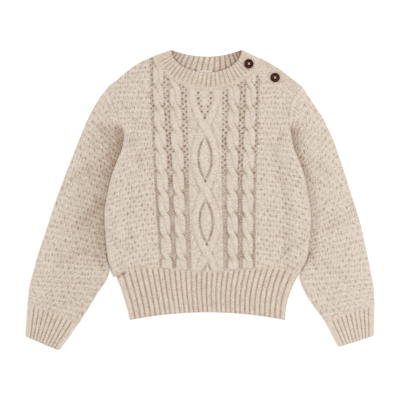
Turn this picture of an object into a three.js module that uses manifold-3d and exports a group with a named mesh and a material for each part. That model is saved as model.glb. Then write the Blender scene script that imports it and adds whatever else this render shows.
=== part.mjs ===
// A child's cable knit sweater laid flat on its back, in millimetres.
// +Z is up, +Y points to the neck and +X to the wearer's left arm, as the sweater is seen from above.
// The origin is on the surface, in the middle of the sweater's outline.
import * as THREE from "three";
import Module from "manifold-3d";

const wasm = await Module();
wasm.setup();

// Cloth: a chunky knit in two layers with a thin air gap between them.
const WALL = 3;
const LAYER_GAP = 1.2;
const SEAM_GAP = 0.3;
const UPPER_Z = WALL + LAYER_GAP;
const STACK = UPPER_Z + WALL;
const MIDDLE_Z = STACK / 2;
const EDGE_REACH = 5;
const EDGE_DROP = 1.4;

// Knitted relief on the visible faces.
const CABLE_RISE = 2.6;
const GUTTER_DEPTH = 0.8;
const GUTTER_HALF = 3.5;
const RIB_DEPTH = 1.3;
const ROPE_PITCH = 34.2;
const ROPE_CROSSING_Y = 12;
const ROPE_SWING = 5.4;
const DIAMOND_PITCH = 101;
const DIAMOND_CROSSING_Y = 16;
const DIAMOND_SWING = 17.5;
const STRAND_HALF = 5.4;

// Body: how wide it lies at each height, from the top of the armholes down to the hem rib.
const BODY_EDGES = [
  { y: 182, left: -150, right: 162.3 },
  { y: 163, left: -142.8, right: 149.5 },
  { y: 150, left: -138.1, right: 144.5 },
  { y: 135, left: -132.8, right: 142.5 },
  { y: 120, left: -127.4, right: 144 },
  { y: 106, left: -122.8, right: 147.5 },
  { y: 83, left: -124.2, right: 149.5 },
  { y: 61, left: -133, right: 158.7 },
  { y: 37, left: -141.6, right: 166.7 },
  { y: -1, left: -150, right: 174 },
  { y: -23, left: -152.7, right: 177 },
  { y: -55, left: -151.1, right: 175.4 },
  { y: -90, left: -147.5, right: 171 },
  { y: -111, left: -143, right: 164 },
  { y: -121, left: -138.3, right: 156.5 },
];

// Cable block: half widths from its middle to the three purl gutters on each side.
const HALF_DESIGN = 165;
const GUTTERS = { inner: 30.5, middle: 56, outer: 81 };
const CABLE_BLOCK = [
  { y: 172, middle: 7.3, inner: 33, second: 61.5, outer: 87 },
  { y: 71, middle: 8, inner: 30.5, second: 57, outer: 83 },
  { y: 23, middle: 8.4, inner: 30.3, second: 55.5, outer: 80.5 },
  { y: -97, middle: 11.6, inner: 29.5, second: 53, outer: 75.8 },
];

// Side margins of the body lie on the sleeves' underarm strips.
const STRIP_HEIGHT = STACK + 0.6;
const STRIP_REACH = 21;
const STRIP_SLOPE = 21;
const STRIP_UP = { from: 104, to: 79 };
const STRIP_DOWN = { from: -111, to: -92 };

// Neck and shoulders.
const NECK_X = 12;
const NECK_Y = 240;
const LEFT_NECK = { inner: [-45.5, 240], outer: [-70.5, 231] };
const RIGHT_NECK = { inner: [66, 240], outer: [98.5, 225] };
const FRONT_NECK = { inner: 36, outer: 64, innerBend: 1, ribs: 28 };
const BACK_NECK = { inner: 10.4, outer: 40, innerBend: 2, ribs: 21 };
const LEFT_SHOULDER = [
  { x: -148.8, y: 177.8 },
  { x: -145, y: 182 },
  { x: -132.4, y: 191.4 },
  { x: -110, y: 210.2 },
  { x: -94, y: 220.6 },
  { x: -70.5, y: 231 },
];
const BAND_SHOULDER_END = [162, 182];
const BAND_ARM_END = [149.3, 163.2];
const BAND_NECK_LOW = [84.5, 203];
const BAND_BOW = 2;
const BAND_CLEAR = 0.6;
const UNDERLAP = 1.2;

// Hem rib and cuffs.
const HEM = {
  x: 11.6, bottomHalf: 124.2, topHalf: 145.5, flare: 1.6,
  bottomY: -179.4, sag: 12.4, lean: 0.6, bow: 1.8, ribs: 32,
};
const CUFF_RIBS = 10;

// Sleeves: the outer fold and the underarm fold at each station from the armhole to the cuff.
const LEFT_PICTURE_SLEEVE = [
  { outer: [-149.3, 177.9], inner: [-123.4, 106] },
  { outer: [-161.2, 162.4], inner: [-124.4, 95] },
  { outer: [-172.4, 143.2], inner: [-125.4, 83] },
  { outer: [-182, 124], inner: [-128, 70] },
  { outer: [-190, 104.8], inner: [-130.5, 55] },
  { outer: [-201.2, 76], inner: [-131.5, 35] },
  { outer: [-226, 12], inner: [-136, -23] },
  { outer: [-246, -48], inner: [-142, -73] },
  { outer: [-254, -72], inner: [-148.6, -90] },
  { outer: [-261, -94], inner: [-146, -105] },
  { outer: [-267.5, -118], inner: [-147, -122] },
  { outer: [-273, -140], inner: [-164, -150] },
  { outer: [-275.5, -164.5], inner: [-192.6, -196] },
];
const RIGHT_PICTURE_SLEEVE = [
  { outer: [163, 182.2], inner: [148.3, 106] },
  { outer: [176.4, 162.4], inner: [149.3, 95] },
  { outer: [186.5, 147.5], inner: [150.8, 83] },
  { outer: [195.6, 133.6], inner: [152.5, 70] },
  { outer: [203, 119], inner: [154.5, 55] },
  { outer: [215.5, 91], inner: [155.5, 35] },
  { outer: [236.5, 28], inner: [160, -23] },
  { outer: [256, -34], inner: [166, -73] },
  { outer: [263.5, -66], inner: [172.2, -90] },
  { outer: [269, -92], inner: [167.4, -105] },
  { outer: [274, -116], inner: [160.7, -122] },
  { outer: [278, -140], inner: [170.8, -152] },
  { outer: [279.5, -165.5], inner: [200.1, -194.4] },
];
const LEFT_PICTURE_CUFF = { outer: [-279.3, -217.8], inner: [-224.6, -240.8] };
const RIGHT_PICTURE_CUFF = { outer: [278.3, -216.8], inner: [221.6, -235.2] };
const SLEEVE_SECTIONS = 15;
const SLEEVE_FLATS = 6;
const ARMHOLE_FADE = 0.22;

// Buttons and label.
const BUTTON = { radius: 7.5, thickness: 3, rim: 1.6, dish: 1.1, holeRadius: 0.7, holeCircle: 1.7 };
const NECK_BUTTON = [78, 217.4];
const SHOULDER_BUTTON = [119.8, 195.4];
const LABEL = { x: 7.5, y: 200, width: 24, height: 15, thickness: 0.6 };

const OATMEAL = { color: 0xd3c6b6, roughness: 0.95, metalness: 0 };
const RIBBED = { color: 0xcdbfae, roughness: 0.95, metalness: 0 };
const HORN_BROWN = { color: 0x3c1a12, roughness: 0.3, metalness: 0 };
const LABEL_WHITE = { color: 0xe8e3da, roughness: 0.8, metalness: 0 };

const mix = (a, b, t) => a + (b - a) * t;
const mixPoint = (a, b, t) => [mix(a[0], b[0], t), mix(a[1], b[1], t)];
const clamp = (value) => Math.min(1, Math.max(0, value));
const smooth = (value) => THREE.MathUtils.smoothstep(value, 0, 1);
const steps = (count) => Array.from({ length: count + 1 }, (_, k) => k / count);

// One column of a table, read smoothly at any value of its key column.
function readTable(rows, key, column, at) {
  const up = rows[0][key] < rows[rows.length - 1][key] ? rows : [...rows].reverse();
  const last = up.length - 1;
  if (at <= up[0][key]) return up[0][column];
  if (at >= up[last][key]) return up[last][column];
  const k = up.findIndex((row) => row[key] > at) - 1;
  const slope = (i) => {
    const a = up[Math.max(i - 1, 0)];
    const b = up[Math.min(i + 1, last)];
    return (b[column] - a[column]) / (b[key] - a[key]);
  };
  const span = up[k + 1][key] - up[k][key];
  const t = (at - up[k][key]) / span;
  const bend = (slope(k) * (1 - t) - slope(k + 1) * t) * span * t * (1 - t);
  const level = mix(up[k][column], up[k + 1][column], t * t * (3 - 2 * t));
  return level + bend;
}

const leftEdge = (y) => readTable(BODY_EDGES, "y", "left", y);
const rightEdge = (y) => readTable(BODY_EDGES, "y", "right", y);

// A closed body from shared points and triangles.
function solid(points, faces) {
  const geometry = new THREE.BufferGeometry();
  geometry.setAttribute("position", new THREE.Float32BufferAttribute(points, 3));
  geometry.setIndex(faces);
  geometry.computeVertexNormals();
  return geometry;
}

// A wall over a plan patch. Its two faces share every column and row along the border, and inside it
// each face keeps only the columns and rows that it picks. The outermost columns, as many as margin
// says, keep every row on both faces.
function wall({ plan, top, under, columns, rows, upperPicks, underPicks, margin = 0 }) {
  const points = [];
  const faces = [];
  const lastRow = rows.length - 1;
  const lastColumn = columns.length - 1;
  const add = (u, v, height) => {
    const [x, y] = plan(u, v);
    points.push(x, y, height(x, y, u, v));
    return points.length / 3 - 1;
  };
  const keepsRows = (j) => j <= margin || j >= lastColumn - margin;
  const ring = (i0, i1, j0, j1) => {
    const along = (from, to, everyStep) => {
      const step = Math.sign(to - from) * (everyStep ? 1 : Math.abs(to - from));
      const list = [];
      for (let k = from; k !== to; k += step) list.push(k);
      return list;
    };
    return [
      ...along(j0, j1, i0 === 0).map((j) => [i0, j]),
      ...along(i0, i1, keepsRows(j1)).map((i) => [i, j1]),
      ...along(j1, j0, i1 === lastRow).map((j) => [i1, j]),
      ...along(i1, i0, keepsRows(j0)).map((i) => [i, j0]),
    ];
  };
  const face = (height, picks, down) => {
    const made = new Map();
    const at = ([i, j]) => {
      const key = i + " " + j;
      if (!made.has(key)) made.set(key, add(columns[j], rows[i], height));
      return made.get(key);
    };
    const triangle = (a, b, c) => (down ? faces.push(a, c, b) : faces.push(a, b, c));
    const cell = (i0, i1, j0, j1) => {
      const corners = ring(i0, i1, j0, j1).map(at);
      if (corners.length === 4) {
        triangle(corners[0], corners[1], corners[2]);
        triangle(corners[0], corners[2], corners[3]);
        return;
      }
      const centre = add((columns[j0] + columns[j1]) / 2, (rows[i0] + rows[i1]) / 2, height);
      corners.forEach((a, k) => triangle(centre, a, corners[(k + 1) % corners.length]));
    };
    for (let i = 0; i < lastRow; i++) {
      for (let j = 0; j < margin; j++) {
        cell(i, i + 1, j, j + 1);
        cell(i, i + 1, lastColumn - j - 1, lastColumn - j);
      }
    }
    const middle = picks.columns.filter((j) => j >= margin && j <= lastColumn - margin);
    for (let r = 0; r + 1 < picks.rows.length; r++) {
      for (let c = 0; c + 1 < middle.length; c++) {
        cell(picks.rows[r], picks.rows[r + 1], middle[c], middle[c + 1]);
      }
    }
    return at;
  };
  const all = { columns: columns.map((_, j) => j), rows: rows.map((_, i) => i) };
  const upper = face(top, upperPicks ?? all, false);
  const lower = face(under, underPicks, true);
  const border = ring(0, lastRow, 0, lastColumn);
  border.forEach((here, k) => {
    const next = border[(k + 1) % border.length];
    faces.push(lower(here), lower(next), upper(next), lower(here), upper(next), upper(here));
  });
  return solid(points, faces);
}

const everyNth = (list, n) => list.map((_, k) => k).filter((k) => k % n === 0 || k === list.length - 1);

// How a knitted surface falls off towards a cut or folded edge that is the given distance away.
const edgeFall = (distance) => (1 - clamp(distance / EDGE_REACH)) ** 2;

// Neck edges are half ovals that pass through their two shoulder ends: a bend of 1 gives an
// ellipse, and 2 gives a flatter bow.
function neckEdge(depth, leftEnd, rightEnd, bend = 1) {
  const leftTurn = Math.asin((NECK_Y - leftEnd[1]) / depth);
  const rightTurn = Math.asin((NECK_Y - rightEnd[1]) / depth);
  const leftHalf = (NECK_X - leftEnd[0]) / Math.cos(leftTurn);
  const rightHalf = (rightEnd[0] - NECK_X) / Math.cos(rightTurn);
  const half = (x) => (x < NECK_X ? leftHalf : rightHalf);
  return {
    at: (s) => {
      const turn = mix(leftTurn, Math.PI - rightTurn, s);
      const across = -Math.cos(turn);
      return [NECK_X + across * (across < 0 ? leftHalf : rightHalf), NECK_Y - depth * Math.sin(turn) ** bend];
    },
    yAt: (x, grow) => {
      const across = (x - NECK_X) / (half(x) + grow);
      return NECK_Y - (depth + grow) * Math.sqrt(Math.max(0, 1 - across ** 2));
    },
  };
}

const frontNeckline = neckEdge(FRONT_NECK.outer, LEFT_NECK.outer, RIGHT_NECK.outer);
const backNeckline = neckEdge(BACK_NECK.outer, LEFT_NECK.outer, RIGHT_NECK.outer);

// Lower line of the shoulder bands, from the neckline to the armhole.
const bandLine = (x) => {
  const slope = (BAND_ARM_END[1] - BAND_NECK_LOW[1]) / (BAND_ARM_END[0] - BAND_NECK_LOW[0]);
  return BAND_NECK_LOW[1] + slope * (x - BAND_NECK_LOW[0]);
};

const NECK_CLEAR = 0.7;
function topLine(x, neckline) {
  if (x < LEFT_NECK.outer[0] - NECK_CLEAR) return readTable(LEFT_SHOULDER, "x", "y", x);
  if (x < NECK_X) return neckline.yAt(x, NECK_CLEAR);
  return Math.min(neckline.yAt(x, NECK_CLEAR), bandLine(x));
}

// Seam between body and hem rib: it rises beside the middle and falls to the side folds.
const hemTop = (s) => -113.6 + 20 * s ** 2 - 26.4 * s ** 6;
const HEM_CLEAR = 0.6;
const hemBottom = (s) => HEM.bottomY - HEM.sag * s ** 2;
const hemShift = (v) => HEM.lean * (1 - v) - HEM.bow * Math.sin(Math.PI * v);
const hemHalf = (v) => mix(HEM.bottomHalf, HEM.topHalf, v ** HEM.flare);

// Place across the body: the design width runs from -165 to 165 and keeps its gutters on their lines.
function bodyX(w, y) {
  const block = (column) => readTable(CABLE_BLOCK, "y", column, y);
  const middle = block("middle");
  const stops = [
    [-HALF_DESIGN, leftEdge(y)],
    [-GUTTERS.outer, middle - block("outer")],
    [-GUTTERS.middle, middle - block("second")],
    [-GUTTERS.inner, middle - block("inner")],
    [GUTTERS.inner, middle + block("inner")],
    [GUTTERS.middle, middle + block("second")],
    [GUTTERS.outer, middle + block("outer")],
    [HALF_DESIGN, rightEdge(y)],
  ];
  const k = Math.max(1, stops.findIndex(([at]) => at >= w));
  const [w0, x0] = stops[k - 1];
  const [w1, x1] = stops[k];
  return mix(x0, x1, (w - w0) / (w1 - w0));
}

function bodyPlan(neckline) {
  const topOf = (w) => {
    let y = NECK_Y - FRONT_NECK.outer;
    for (let k = 0; k < 12; k++) y = mix(y, topLine(bodyX(w, y), neckline), 0.6);
    return y;
  };
  const bottomOf = (w) => {
    let y = hemTop(0);
    for (let k = 0; k < 6; k++) y = hemTop((bodyX(w, y) - HEM.x) / HEM.topHalf) + SEAM_GAP;
    return y;
  };
  const ends = new Map();
  const endsOf = (w) => {
    if (!ends.has(w)) ends.set(w, [bottomOf(w), topOf(w)]);
    return ends.get(w);
  };
  return {
    at: (w, v) => {
      const [bottom, top] = endsOf(w);
      const y = mix(bottom, top, v);
      return [bodyX(w, y), y];
    },
    edgeDistance: (x, y, w) => {
      const [bottom, top] = endsOf(w);
      return Math.min(x - leftEdge(y), rightEdge(y) - x, top - y, y - bottom);
    },
  };
}

// The body's side margins climb onto the sleeves' underarm strips.
function climb(x, y) {
  const side = Math.min(x - leftEdge(y), rightEdge(y) - x);
  const across = 1 - smooth((side - STRIP_REACH) / STRIP_SLOPE);
  const upper = smooth((STRIP_UP.from - y) / (STRIP_UP.from - STRIP_UP.to));
  const lower = smooth((y - STRIP_DOWN.from) / (STRIP_DOWN.to - STRIP_DOWN.from));
  return STRIP_HEIGHT * across * upper * lower;
}

const strandTop = (offset) => Math.sqrt(Math.max(0, 1 - (offset / STRAND_HALF) ** 2));

// Two strands that swap sides once a pitch; the one that comes from the upper left lies on top.
function rope(offset, y) {
  const turn = (Math.PI * (y - ROPE_CROSSING_Y)) / ROPE_PITCH;
  const swing = Math.sin(turn);
  const under = Math.cos(turn) ** 2 * 0.45;
  const onTop = Math.cos(turn) > 0 ? -1 : 1;
  const over = strandTop(offset - onTop * ROPE_SWING * swing);
  const beneath = strandTop(offset + onTop * ROPE_SWING * swing) * (1 - under);
  return CABLE_RISE * Math.max(over, beneath);
}

function diamond(offset, y) {
  const swing = DIAMOND_SWING * Math.abs(Math.sin((Math.PI * (y - DIAMOND_CROSSING_Y)) / DIAMOND_PITCH));
  return CABLE_RISE * Math.max(strandTop(offset - swing), strandTop(offset + swing));
}

function gutter(w) {
  const nearest = Math.min(...Object.values(GUTTERS).map((at) => Math.abs(Math.abs(w) - at)));
  return GUTTER_DEPTH * (1 - clamp(nearest / GUTTER_HALF));
}

function cableRelief(w, y) {
  const far = Math.abs(w);
  if (far > GUTTERS.outer + GUTTER_HALF) return 0;
  if (far < GUTTERS.inner) return diamond(w, y) - gutter(w);
  const [from, to] = far < GUTTERS.middle ? [GUTTERS.inner, GUTTERS.middle] : [GUTTERS.middle, GUTTERS.outer];
  const offset = w - (Math.sign(w) * (from + to)) / 2;
  return (far < GUTTERS.outer ? rope(offset, y) : 0) - gutter(w);
}

// Columns of the body grid, in design width: margins, then gutters, cables and the diamond panel.
const MARGIN_STEPS = [0, 4, 12, 23, 31, 38, 47, 66];
const MARGIN_COLUMNS = 6;
const CABLE_STEPS = [0, 3.6, 8, 12.75, 17.5, 21.9];
const DIAMOND_STEPS = [0, 5, 10.5, 16, 21.5, 27];

function bodyColumns() {
  const left = [
    ...MARGIN_STEPS.map((step) => -HALF_DESIGN + step),
    ...CABLE_STEPS.map((step) => -GUTTERS.outer + step),
    ...CABLE_STEPS.map((step) => -GUTTERS.middle + step),
    ...DIAMOND_STEPS.map((step) => -GUTTERS.inner + step),
  ];
  return [...left, ...left.map((w) => -w).reverse()];
}

const BODY_ROWS = 32;
function bodyRows() {
  const even = steps(BODY_ROWS);
  even.splice(1, 0, even[1] / 4);
  even.splice(-1, 0, 1 - even[1]);
  return even;
}

// Columns and rows that the plain inside of the front and the plain back share.
function plainPicks(columns, rows) {
  const margins = MARGIN_STEPS.length;
  const isGutter = (w) => Object.values(GUTTERS).includes(Math.abs(w));
  const inMargin = (j) => j < margins || j >= columns.length - margins;
  return {
    columns: columns.map((_, j) => j).filter((j) => inMargin(j) || isGutter(columns[j])),
    rows: rows.map((_, i) => i).filter((i) => i < 2 || i > rows.length - 3 || i % 2 === 1),
  };
}

function frontPanel() {
  const plan = bodyPlan(frontNeckline);
  const columns = bodyColumns();
  const rows = bodyRows();
  const plain = plainPicks(columns, rows);
  return wall({
    plan: plan.at,
    top: (x, y, w) => {
      const fall = edgeFall(plan.edgeDistance(x, y, w));
      return STACK + climb(x, y) + cableRelief(w, y) * (1 - fall) - EDGE_DROP * fall;
    },
    under: (x, y, w) => {
      const fall = edgeFall(plan.edgeDistance(x, y, w));
      return UPPER_Z + climb(x, y) - (LAYER_GAP - SEAM_GAP) * fall;
    },
    columns,
    rows,
    underPicks: plain,
    margin: MARGIN_COLUMNS,
  });
}

function backPanel() {
  const plan = bodyPlan(backNeckline);
  const columns = bodyColumns();
  const rows = bodyRows();
  const plain = plainPicks(columns, rows);
  return wall({
    plan: plan.at,
    top: (x, y) => WALL + climb(x, y),
    under: (x, y) => climb(x, y),
    columns,
    rows,
    upperPicks: plain,
    underPicks: plain,
    margin: MARGIN_COLUMNS,
  });
}

// Ribs: each is a flat ridge with a groove beside it, given as places across one rib from 0 to 1.
const RIB_STOPS = [0, 0.3, 0.7];
const ribColumns = (ribs) => [
  ...Array.from({ length: ribs * RIB_STOPS.length }, (_, k) => {
    const rib = Math.floor(k / RIB_STOPS.length);
    return (rib + RIB_STOPS[k % RIB_STOPS.length]) / ribs;
  }),
  1,
];
const ribHeight = (s, ribs) => {
  const across = (s * ribs) % 1;
  const groove = Math.min(across, 1 - across) / RIB_STOPS[1];
  return -RIB_DEPTH * (1 - clamp(groove));
};

function hemRib(isFront) {
  const plan = (s, v) => {
    const across = s * 2 - 1;
    const half = hemHalf(v);
    return [HEM.x + hemShift(v) + across * half, mix(hemBottom(across), hemTop(across) - HEM_CLEAR, v)];
  };
  const columns = isFront ? ribColumns(HEM.ribs) : steps(HEM.ribs);
  const rows = [0, 0.06, 0.36, 0.66, 0.94, 1];
  const sideFall = (s) => edgeFall(Math.min(s, 1 - s) * 2 * HEM.bottomHalf);
  return wall({
    plan,
    top: (x, y, s, v) => {
      if (!isFront) return WALL;
      const fall = Math.max(sideFall(s), v === 0 || v === 1 ? 0.6 : 0);
      return STACK + ribHeight(s, HEM.ribs) * (1 - fall) - EDGE_DROP * fall;
    },
    under: (x, y, s) => (isFront ? UPPER_Z - (LAYER_GAP - SEAM_GAP) * sideFall(s) : 0),
    columns,
    rows,
    underPicks: { columns: everyNth(columns, isFront ? 12 : 4), rows: [0, rows.length - 1] },
  });
}

function neckband(depths, baseZ, roomAbove) {
  const outer = neckEdge(depths.outer, LEFT_NECK.outer, RIGHT_NECK.outer);
  const inner = neckEdge(depths.inner, LEFT_NECK.inner, RIGHT_NECK.inner, depths.innerBend);
  const columns = ribColumns(depths.ribs);
  const rows = [0, 0.08, 0.92, 1];
  const endFall = (s) => edgeFall(Math.min(s, 1 - s) * 100);
  return wall({
    plan: (s, v) => mixPoint(outer.at(s), inner.at(s), v),
    top: (x, y, s, v) => {
      const fall = Math.max(endFall(s), v === 0 || v === 1 ? 0.6 : 0);
      const buttonEnd = roomAbove ? smooth((0.93 - s) / 0.08) : 1;
      const rib = ribHeight(s, depths.ribs) * buttonEnd;
      return baseZ + WALL + rib * (1 - fall) - (roomAbove ? EDGE_DROP * fall : 0);
    },
    under: (x, y, s) => baseZ - (roomAbove ? (LAYER_GAP - SEAM_GAP) * endFall(s) : 0),
    columns,
    rows,
    underPicks: { columns: everyNth(columns, 4), rows: [0, rows.length - 1] },
  });
}

// A shoulder band is ruled between the neckline and the armhole, with its fold bowed a little outwards.
function shoulderBand(neckline, baseZ, overhang) {
  const low = (() => {
    let [from, to] = [0.5, 1];
    for (let k = 0; k < 30; k++) {
      const s = (from + to) / 2;
      const [x, y] = neckline.at(s);
      if (y < bandLine(x)) from = s;
      else to = s;
    }
    return from;
  })();
  const shoulder = new THREE.Vector2(
    BAND_SHOULDER_END[0] - RIGHT_NECK.outer[0],
    BAND_SHOULDER_END[1] - RIGHT_NECK.outer[1],
  ).normalize();
  const bow = (u, v) => (BAND_BOW * Math.sin(Math.PI * u) + overhang * smooth((0.7 - u) / 0.2)) * v;
  return wall({
    plan: (u, v) => {
      const neckSide = neckline.at(mix(low, 1, v));
      const armSide = mixPoint(BAND_ARM_END, BAND_SHOULDER_END, v);
      const start = [neckSide[0] + BAND_CLEAR * shoulder.x, neckSide[1] + BAND_CLEAR * shoulder.y];
      const end = [armSide[0] - BAND_CLEAR * shoulder.x, armSide[1] - BAND_CLEAR * shoulder.y];
      const [x, y] = mixPoint(start, end, u);
      const lift = bow(u, v) + BAND_CLEAR * (1 - v);
      return [x - shoulder.y * lift, y + shoulder.x * lift];
    },
    top: (x, y, u, v) => baseZ + WALL - (v === 1 && baseZ > 0 ? EDGE_DROP : 0),
    under: (x, y, u, v) => baseZ - (v === 1 && baseZ > 0 ? LAYER_GAP - SEAM_GAP : 0),
    columns: steps(8),
    rows: [0, 0.2, 0.4, 0.6, 0.8, 0.93, 1],
    underPicks: { columns: everyNth(steps(8), 4), rows: [0, 5, 6] },
  });
}

// One ring of a flattened tube: places across as [distance from the outer fold, height], pulled in by inset.
function tubeRing(width, inset, upperStops, reliefAt) {
  const radius = MIDDLE_Z - inset;
  const turns = [-Math.PI / 2, -Math.PI / 4, 0, Math.PI / 4, Math.PI / 2];
  const fold = turns.map((turn) => [
    inset + radius * (1 - Math.cos(turn)), MIDDLE_Z + radius * Math.sin(turn),
  ]);
  const flat = width - 2 * MIDDLE_Z;
  const upper = upperStops.map((f) => {
    const relief = inset === 0 ? reliefAt(f) : 0;
    return [MIDDLE_Z + flat * f, MIDDLE_Z + radius + relief];
  });
  const lowerCount = 5;
  const lower = steps(lowerCount).slice(1, -1).reverse();
  return [
    ...fold,
    ...upper,
    ...[...fold].reverse().map(([across, z]) => [width - across, z]),
    ...lower.map((f) => [MIDDLE_Z + flat * f, MIDDLE_Z - radius]),
  ];
}

// A flattened cloth tube through sections; place(t, f) gives the plan point at a fraction f across.
function tube({ sections, widthAt, place, upperStops, reliefAt }) {
  const points = [];
  const faces = [];
  const skins = [0, WALL].map((inset) =>
    sections.map((t) => {
      const width = widthAt(t);
      return tubeRing(width, inset, upperStops, reliefAt).map(([across, z]) => {
        const [x, y] = place(t, across / width);
        points.push(x, y, z);
        return points.length / 3 - 1;
      });
    }),
  );
  const quad = (a, b, c, d, flip) => {
    if (flip) faces.push(a, c, b, a, d, c);
    else faces.push(a, b, c, a, c, d);
  };
  skins.forEach((rings, skin) => {
    for (let i = 0; i + 1 < rings.length; i++) {
      rings[i].forEach((a, k) => {
        const next = (k + 1) % rings[i].length;
        quad(a, rings[i][next], rings[i + 1][next], rings[i + 1][k], skin === 1);
      });
    }
  });
  [0, sections.length - 1].forEach((end) => {
    const [outer, inner] = [skins[0][end], skins[1][end]];
    outer.forEach((a, k) => {
      const next = (k + 1) % outer.length;
      quad(a, inner[k], inner[next], outer[next], end !== 0);
    });
  });
  return solid(points, faces);
}

// Turns a body's faces outwards where its sections were listed the other way round.
function faceOut(geometry) {
  const at = geometry.getAttribute("position");
  const index = geometry.getIndex();
  const corner = (k) => new THREE.Vector3().fromBufferAttribute(at, index.getX(k));
  let volume = 0;
  for (let k = 0; k < index.count; k += 3) {
    volume += corner(k).dot(corner(k + 1).cross(corner(k + 2)));
  }
  if (volume > 0) return geometry;
  for (let k = 0; k < index.count; k += 3) {
    const second = index.getX(k + 1);
    index.setX(k + 1, index.getX(k + 2));
    index.setX(k + 2, second);
  }
  geometry.computeVertexNormals();
  return geometry;
}

function sleeve(stations, edge, side) {
  const curve = (fold) => new THREE.CatmullRomCurve3(
    stations.map((row) => new THREE.Vector3(row[fold][0], row[fold][1], 0)),
    false,
    "centripetal",
  );
  const folds = { outer: curve("outer"), inner: curve("inner") };
  const pointAt = (fold, t) => {
    const { x, y } = folds[fold].getPoint(t);
    return [x, y];
  };
  const [head, underarm] = [stations[0].outer, stations[0].inner];
  const seamClear = 0.7;
  const place = (t, f) => {
    const straight = mixPoint(pointAt("outer", t), pointAt("inner", t), f);
    const [lineX, lineY] = mixPoint(head, underarm, f);
    const bend = edge(lineY) + side * seamClear - lineX;
    const share = clamp(1 - t / ARMHOLE_FADE) ** 2 * Math.sin(Math.PI * clamp(f)) ** 0.5;
    return [straight[0] + bend * share, straight[1]];
  };
  const widthAt = (t) => {
    const [a, b] = [pointAt("outer", t), pointAt("inner", t)];
    return Math.hypot(a[0] - b[0], a[1] - b[1]);
  };
  return faceOut(tube({
    sections: steps(SLEEVE_SECTIONS),
    widthAt,
    place,
    upperStops: steps(SLEEVE_FLATS).slice(1, -1),
    reliefAt: () => 0,
  }));
}

function cuff(stations, end) {
  const top = stations[stations.length - 1];
  const length = Math.hypot(top.outer[0] - end.outer[0], top.outer[1] - end.outer[1]);
  const start = (SEAM_GAP * 1.5) / length;
  const place = (t, f) => {
    const [outer, inner] = ["outer", "inner"].map((fold) => mixPoint(top[fold], end[fold], mix(start, 1, t)));
    return mixPoint(outer, inner, f);
  };
  const widthAt = (t) => {
    const [a, b] = [place(t, 0), place(t, 1)];
    return Math.hypot(a[0] - b[0], a[1] - b[1]);
  };
  return faceOut(tube({
    sections: [0, 0.06, 0.94, 1],
    widthAt,
    place,
    upperStops: ribColumns(CUFF_RIBS).slice(1, -1),
    reliefAt: (f) => ribHeight(f, CUFF_RIBS),
  }));
}

// A closed geometry as a solid that can be cut, and back.
function toManifold(geometry) {
  const place = geometry.getAttribute("position").array;
  return new wasm.Manifold(new wasm.Mesh({
    numProp: 3,
    vertProperties: Float32Array.from(place),
    triVerts: Uint32Array.from(geometry.getIndex().array),
  }));
}

function toGeometry(manifold) {
  const { vertProperties, triVerts } = manifold.getMesh();
  return solid(Array.from(vertProperties), Array.from(triVerts));
}

// Round bodies turned about the Z axis from a profile of [radius, height] rows that starts and ends on it.
function turned(profile, sides) {
  const points = [0, 0, profile[0][1], 0, 0, profile[profile.length - 1][1]];
  const rings = profile.slice(1, -1).map(([radius, z]) =>
    Array.from({ length: sides }, (_, k) => {
      const turn = (2 * Math.PI * k) / sides;
      points.push(radius * Math.cos(turn), radius * Math.sin(turn), z);
      return points.length / 3 - 1;
    }),
  );
  const faces = [];
  for (let k = 0; k < sides; k++) {
    const next = (k + 1) % sides;
    faces.push(0, rings[0][next], rings[0][k]);
    faces.push(1, rings[rings.length - 1][k], rings[rings.length - 1][next]);
    for (let i = 0; i + 1 < rings.length; i++) {
      const [a, b] = [rings[i], rings[i + 1]];
      faces.push(a[k], a[next], b[next], a[k], b[next], b[k]);
    }
  }
  return solid(points, faces);
}

// A dished four-hole button with a rounded rim.
function button() {
  const { radius, thickness, rim, dish, holeRadius, holeCircle } = BUTTON;
  const profile = [
    [0, 0],
    [radius - rim, 0],
    [radius, thickness * 0.45],
    [radius - rim * 0.35, thickness * 0.9],
    [radius - rim, thickness],
    [radius - rim * 1.8, thickness - dish],
    [0, thickness - dish],
  ];
  let body = toManifold(turned(profile, 22));
  for (let k = 0; k < 4; k++) {
    const turn = (Math.PI * (2 * k + 1)) / 4;
    const pin = turned([[0, -1], [holeRadius, -1], [holeRadius, thickness + 1], [0, thickness + 1]], 8);
    pin.translate(holeCircle * Math.cos(turn), holeCircle * Math.sin(turn), 0);
    body = body.subtract(toManifold(pin));
  }
  return toGeometry(body);
}

const sweater = new THREE.Group();
sweater.name = "cable_knit_sweater";

function addPiece(name, geometry, look, at = [0, 0, 0]) {
  const piece = new THREE.Mesh(geometry, new THREE.MeshStandardMaterial(look));
  piece.name = name;
  piece.position.set(...at);
  sweater.add(piece);
}

addPiece("back", backPanel(), OATMEAL);
addPiece("front", frontPanel(), OATMEAL);
addPiece("sleeve_right", sleeve(LEFT_PICTURE_SLEEVE, leftEdge, -1), OATMEAL);
addPiece("sleeve_left", sleeve(RIGHT_PICTURE_SLEEVE, rightEdge, 1), OATMEAL);
addPiece("cuff_right", cuff(LEFT_PICTURE_SLEEVE, LEFT_PICTURE_CUFF), RIBBED);
addPiece("cuff_left", cuff(RIGHT_PICTURE_SLEEVE, RIGHT_PICTURE_CUFF), RIBBED);
addPiece("hem_rib_back", hemRib(false), RIBBED);
addPiece("hem_rib_front", hemRib(true), RIBBED);
addPiece("neckband_back", neckband(BACK_NECK, 0, false), RIBBED);
addPiece("neckband_front", neckband(FRONT_NECK, UPPER_Z, true), RIBBED);
addPiece("shoulder_band_back", shoulderBand(backNeckline, 0, UNDERLAP), RIBBED);
addPiece("shoulder_band_front", shoulderBand(frontNeckline, UPPER_Z, 0), RIBBED);
const seat = STACK + SEAM_GAP;
addPiece("button_neck", button(), HORN_BROWN, [...NECK_BUTTON, seat]);
addPiece("button_shoulder", button(), HORN_BROWN, [...SHOULDER_BUTTON, seat]);
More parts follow.
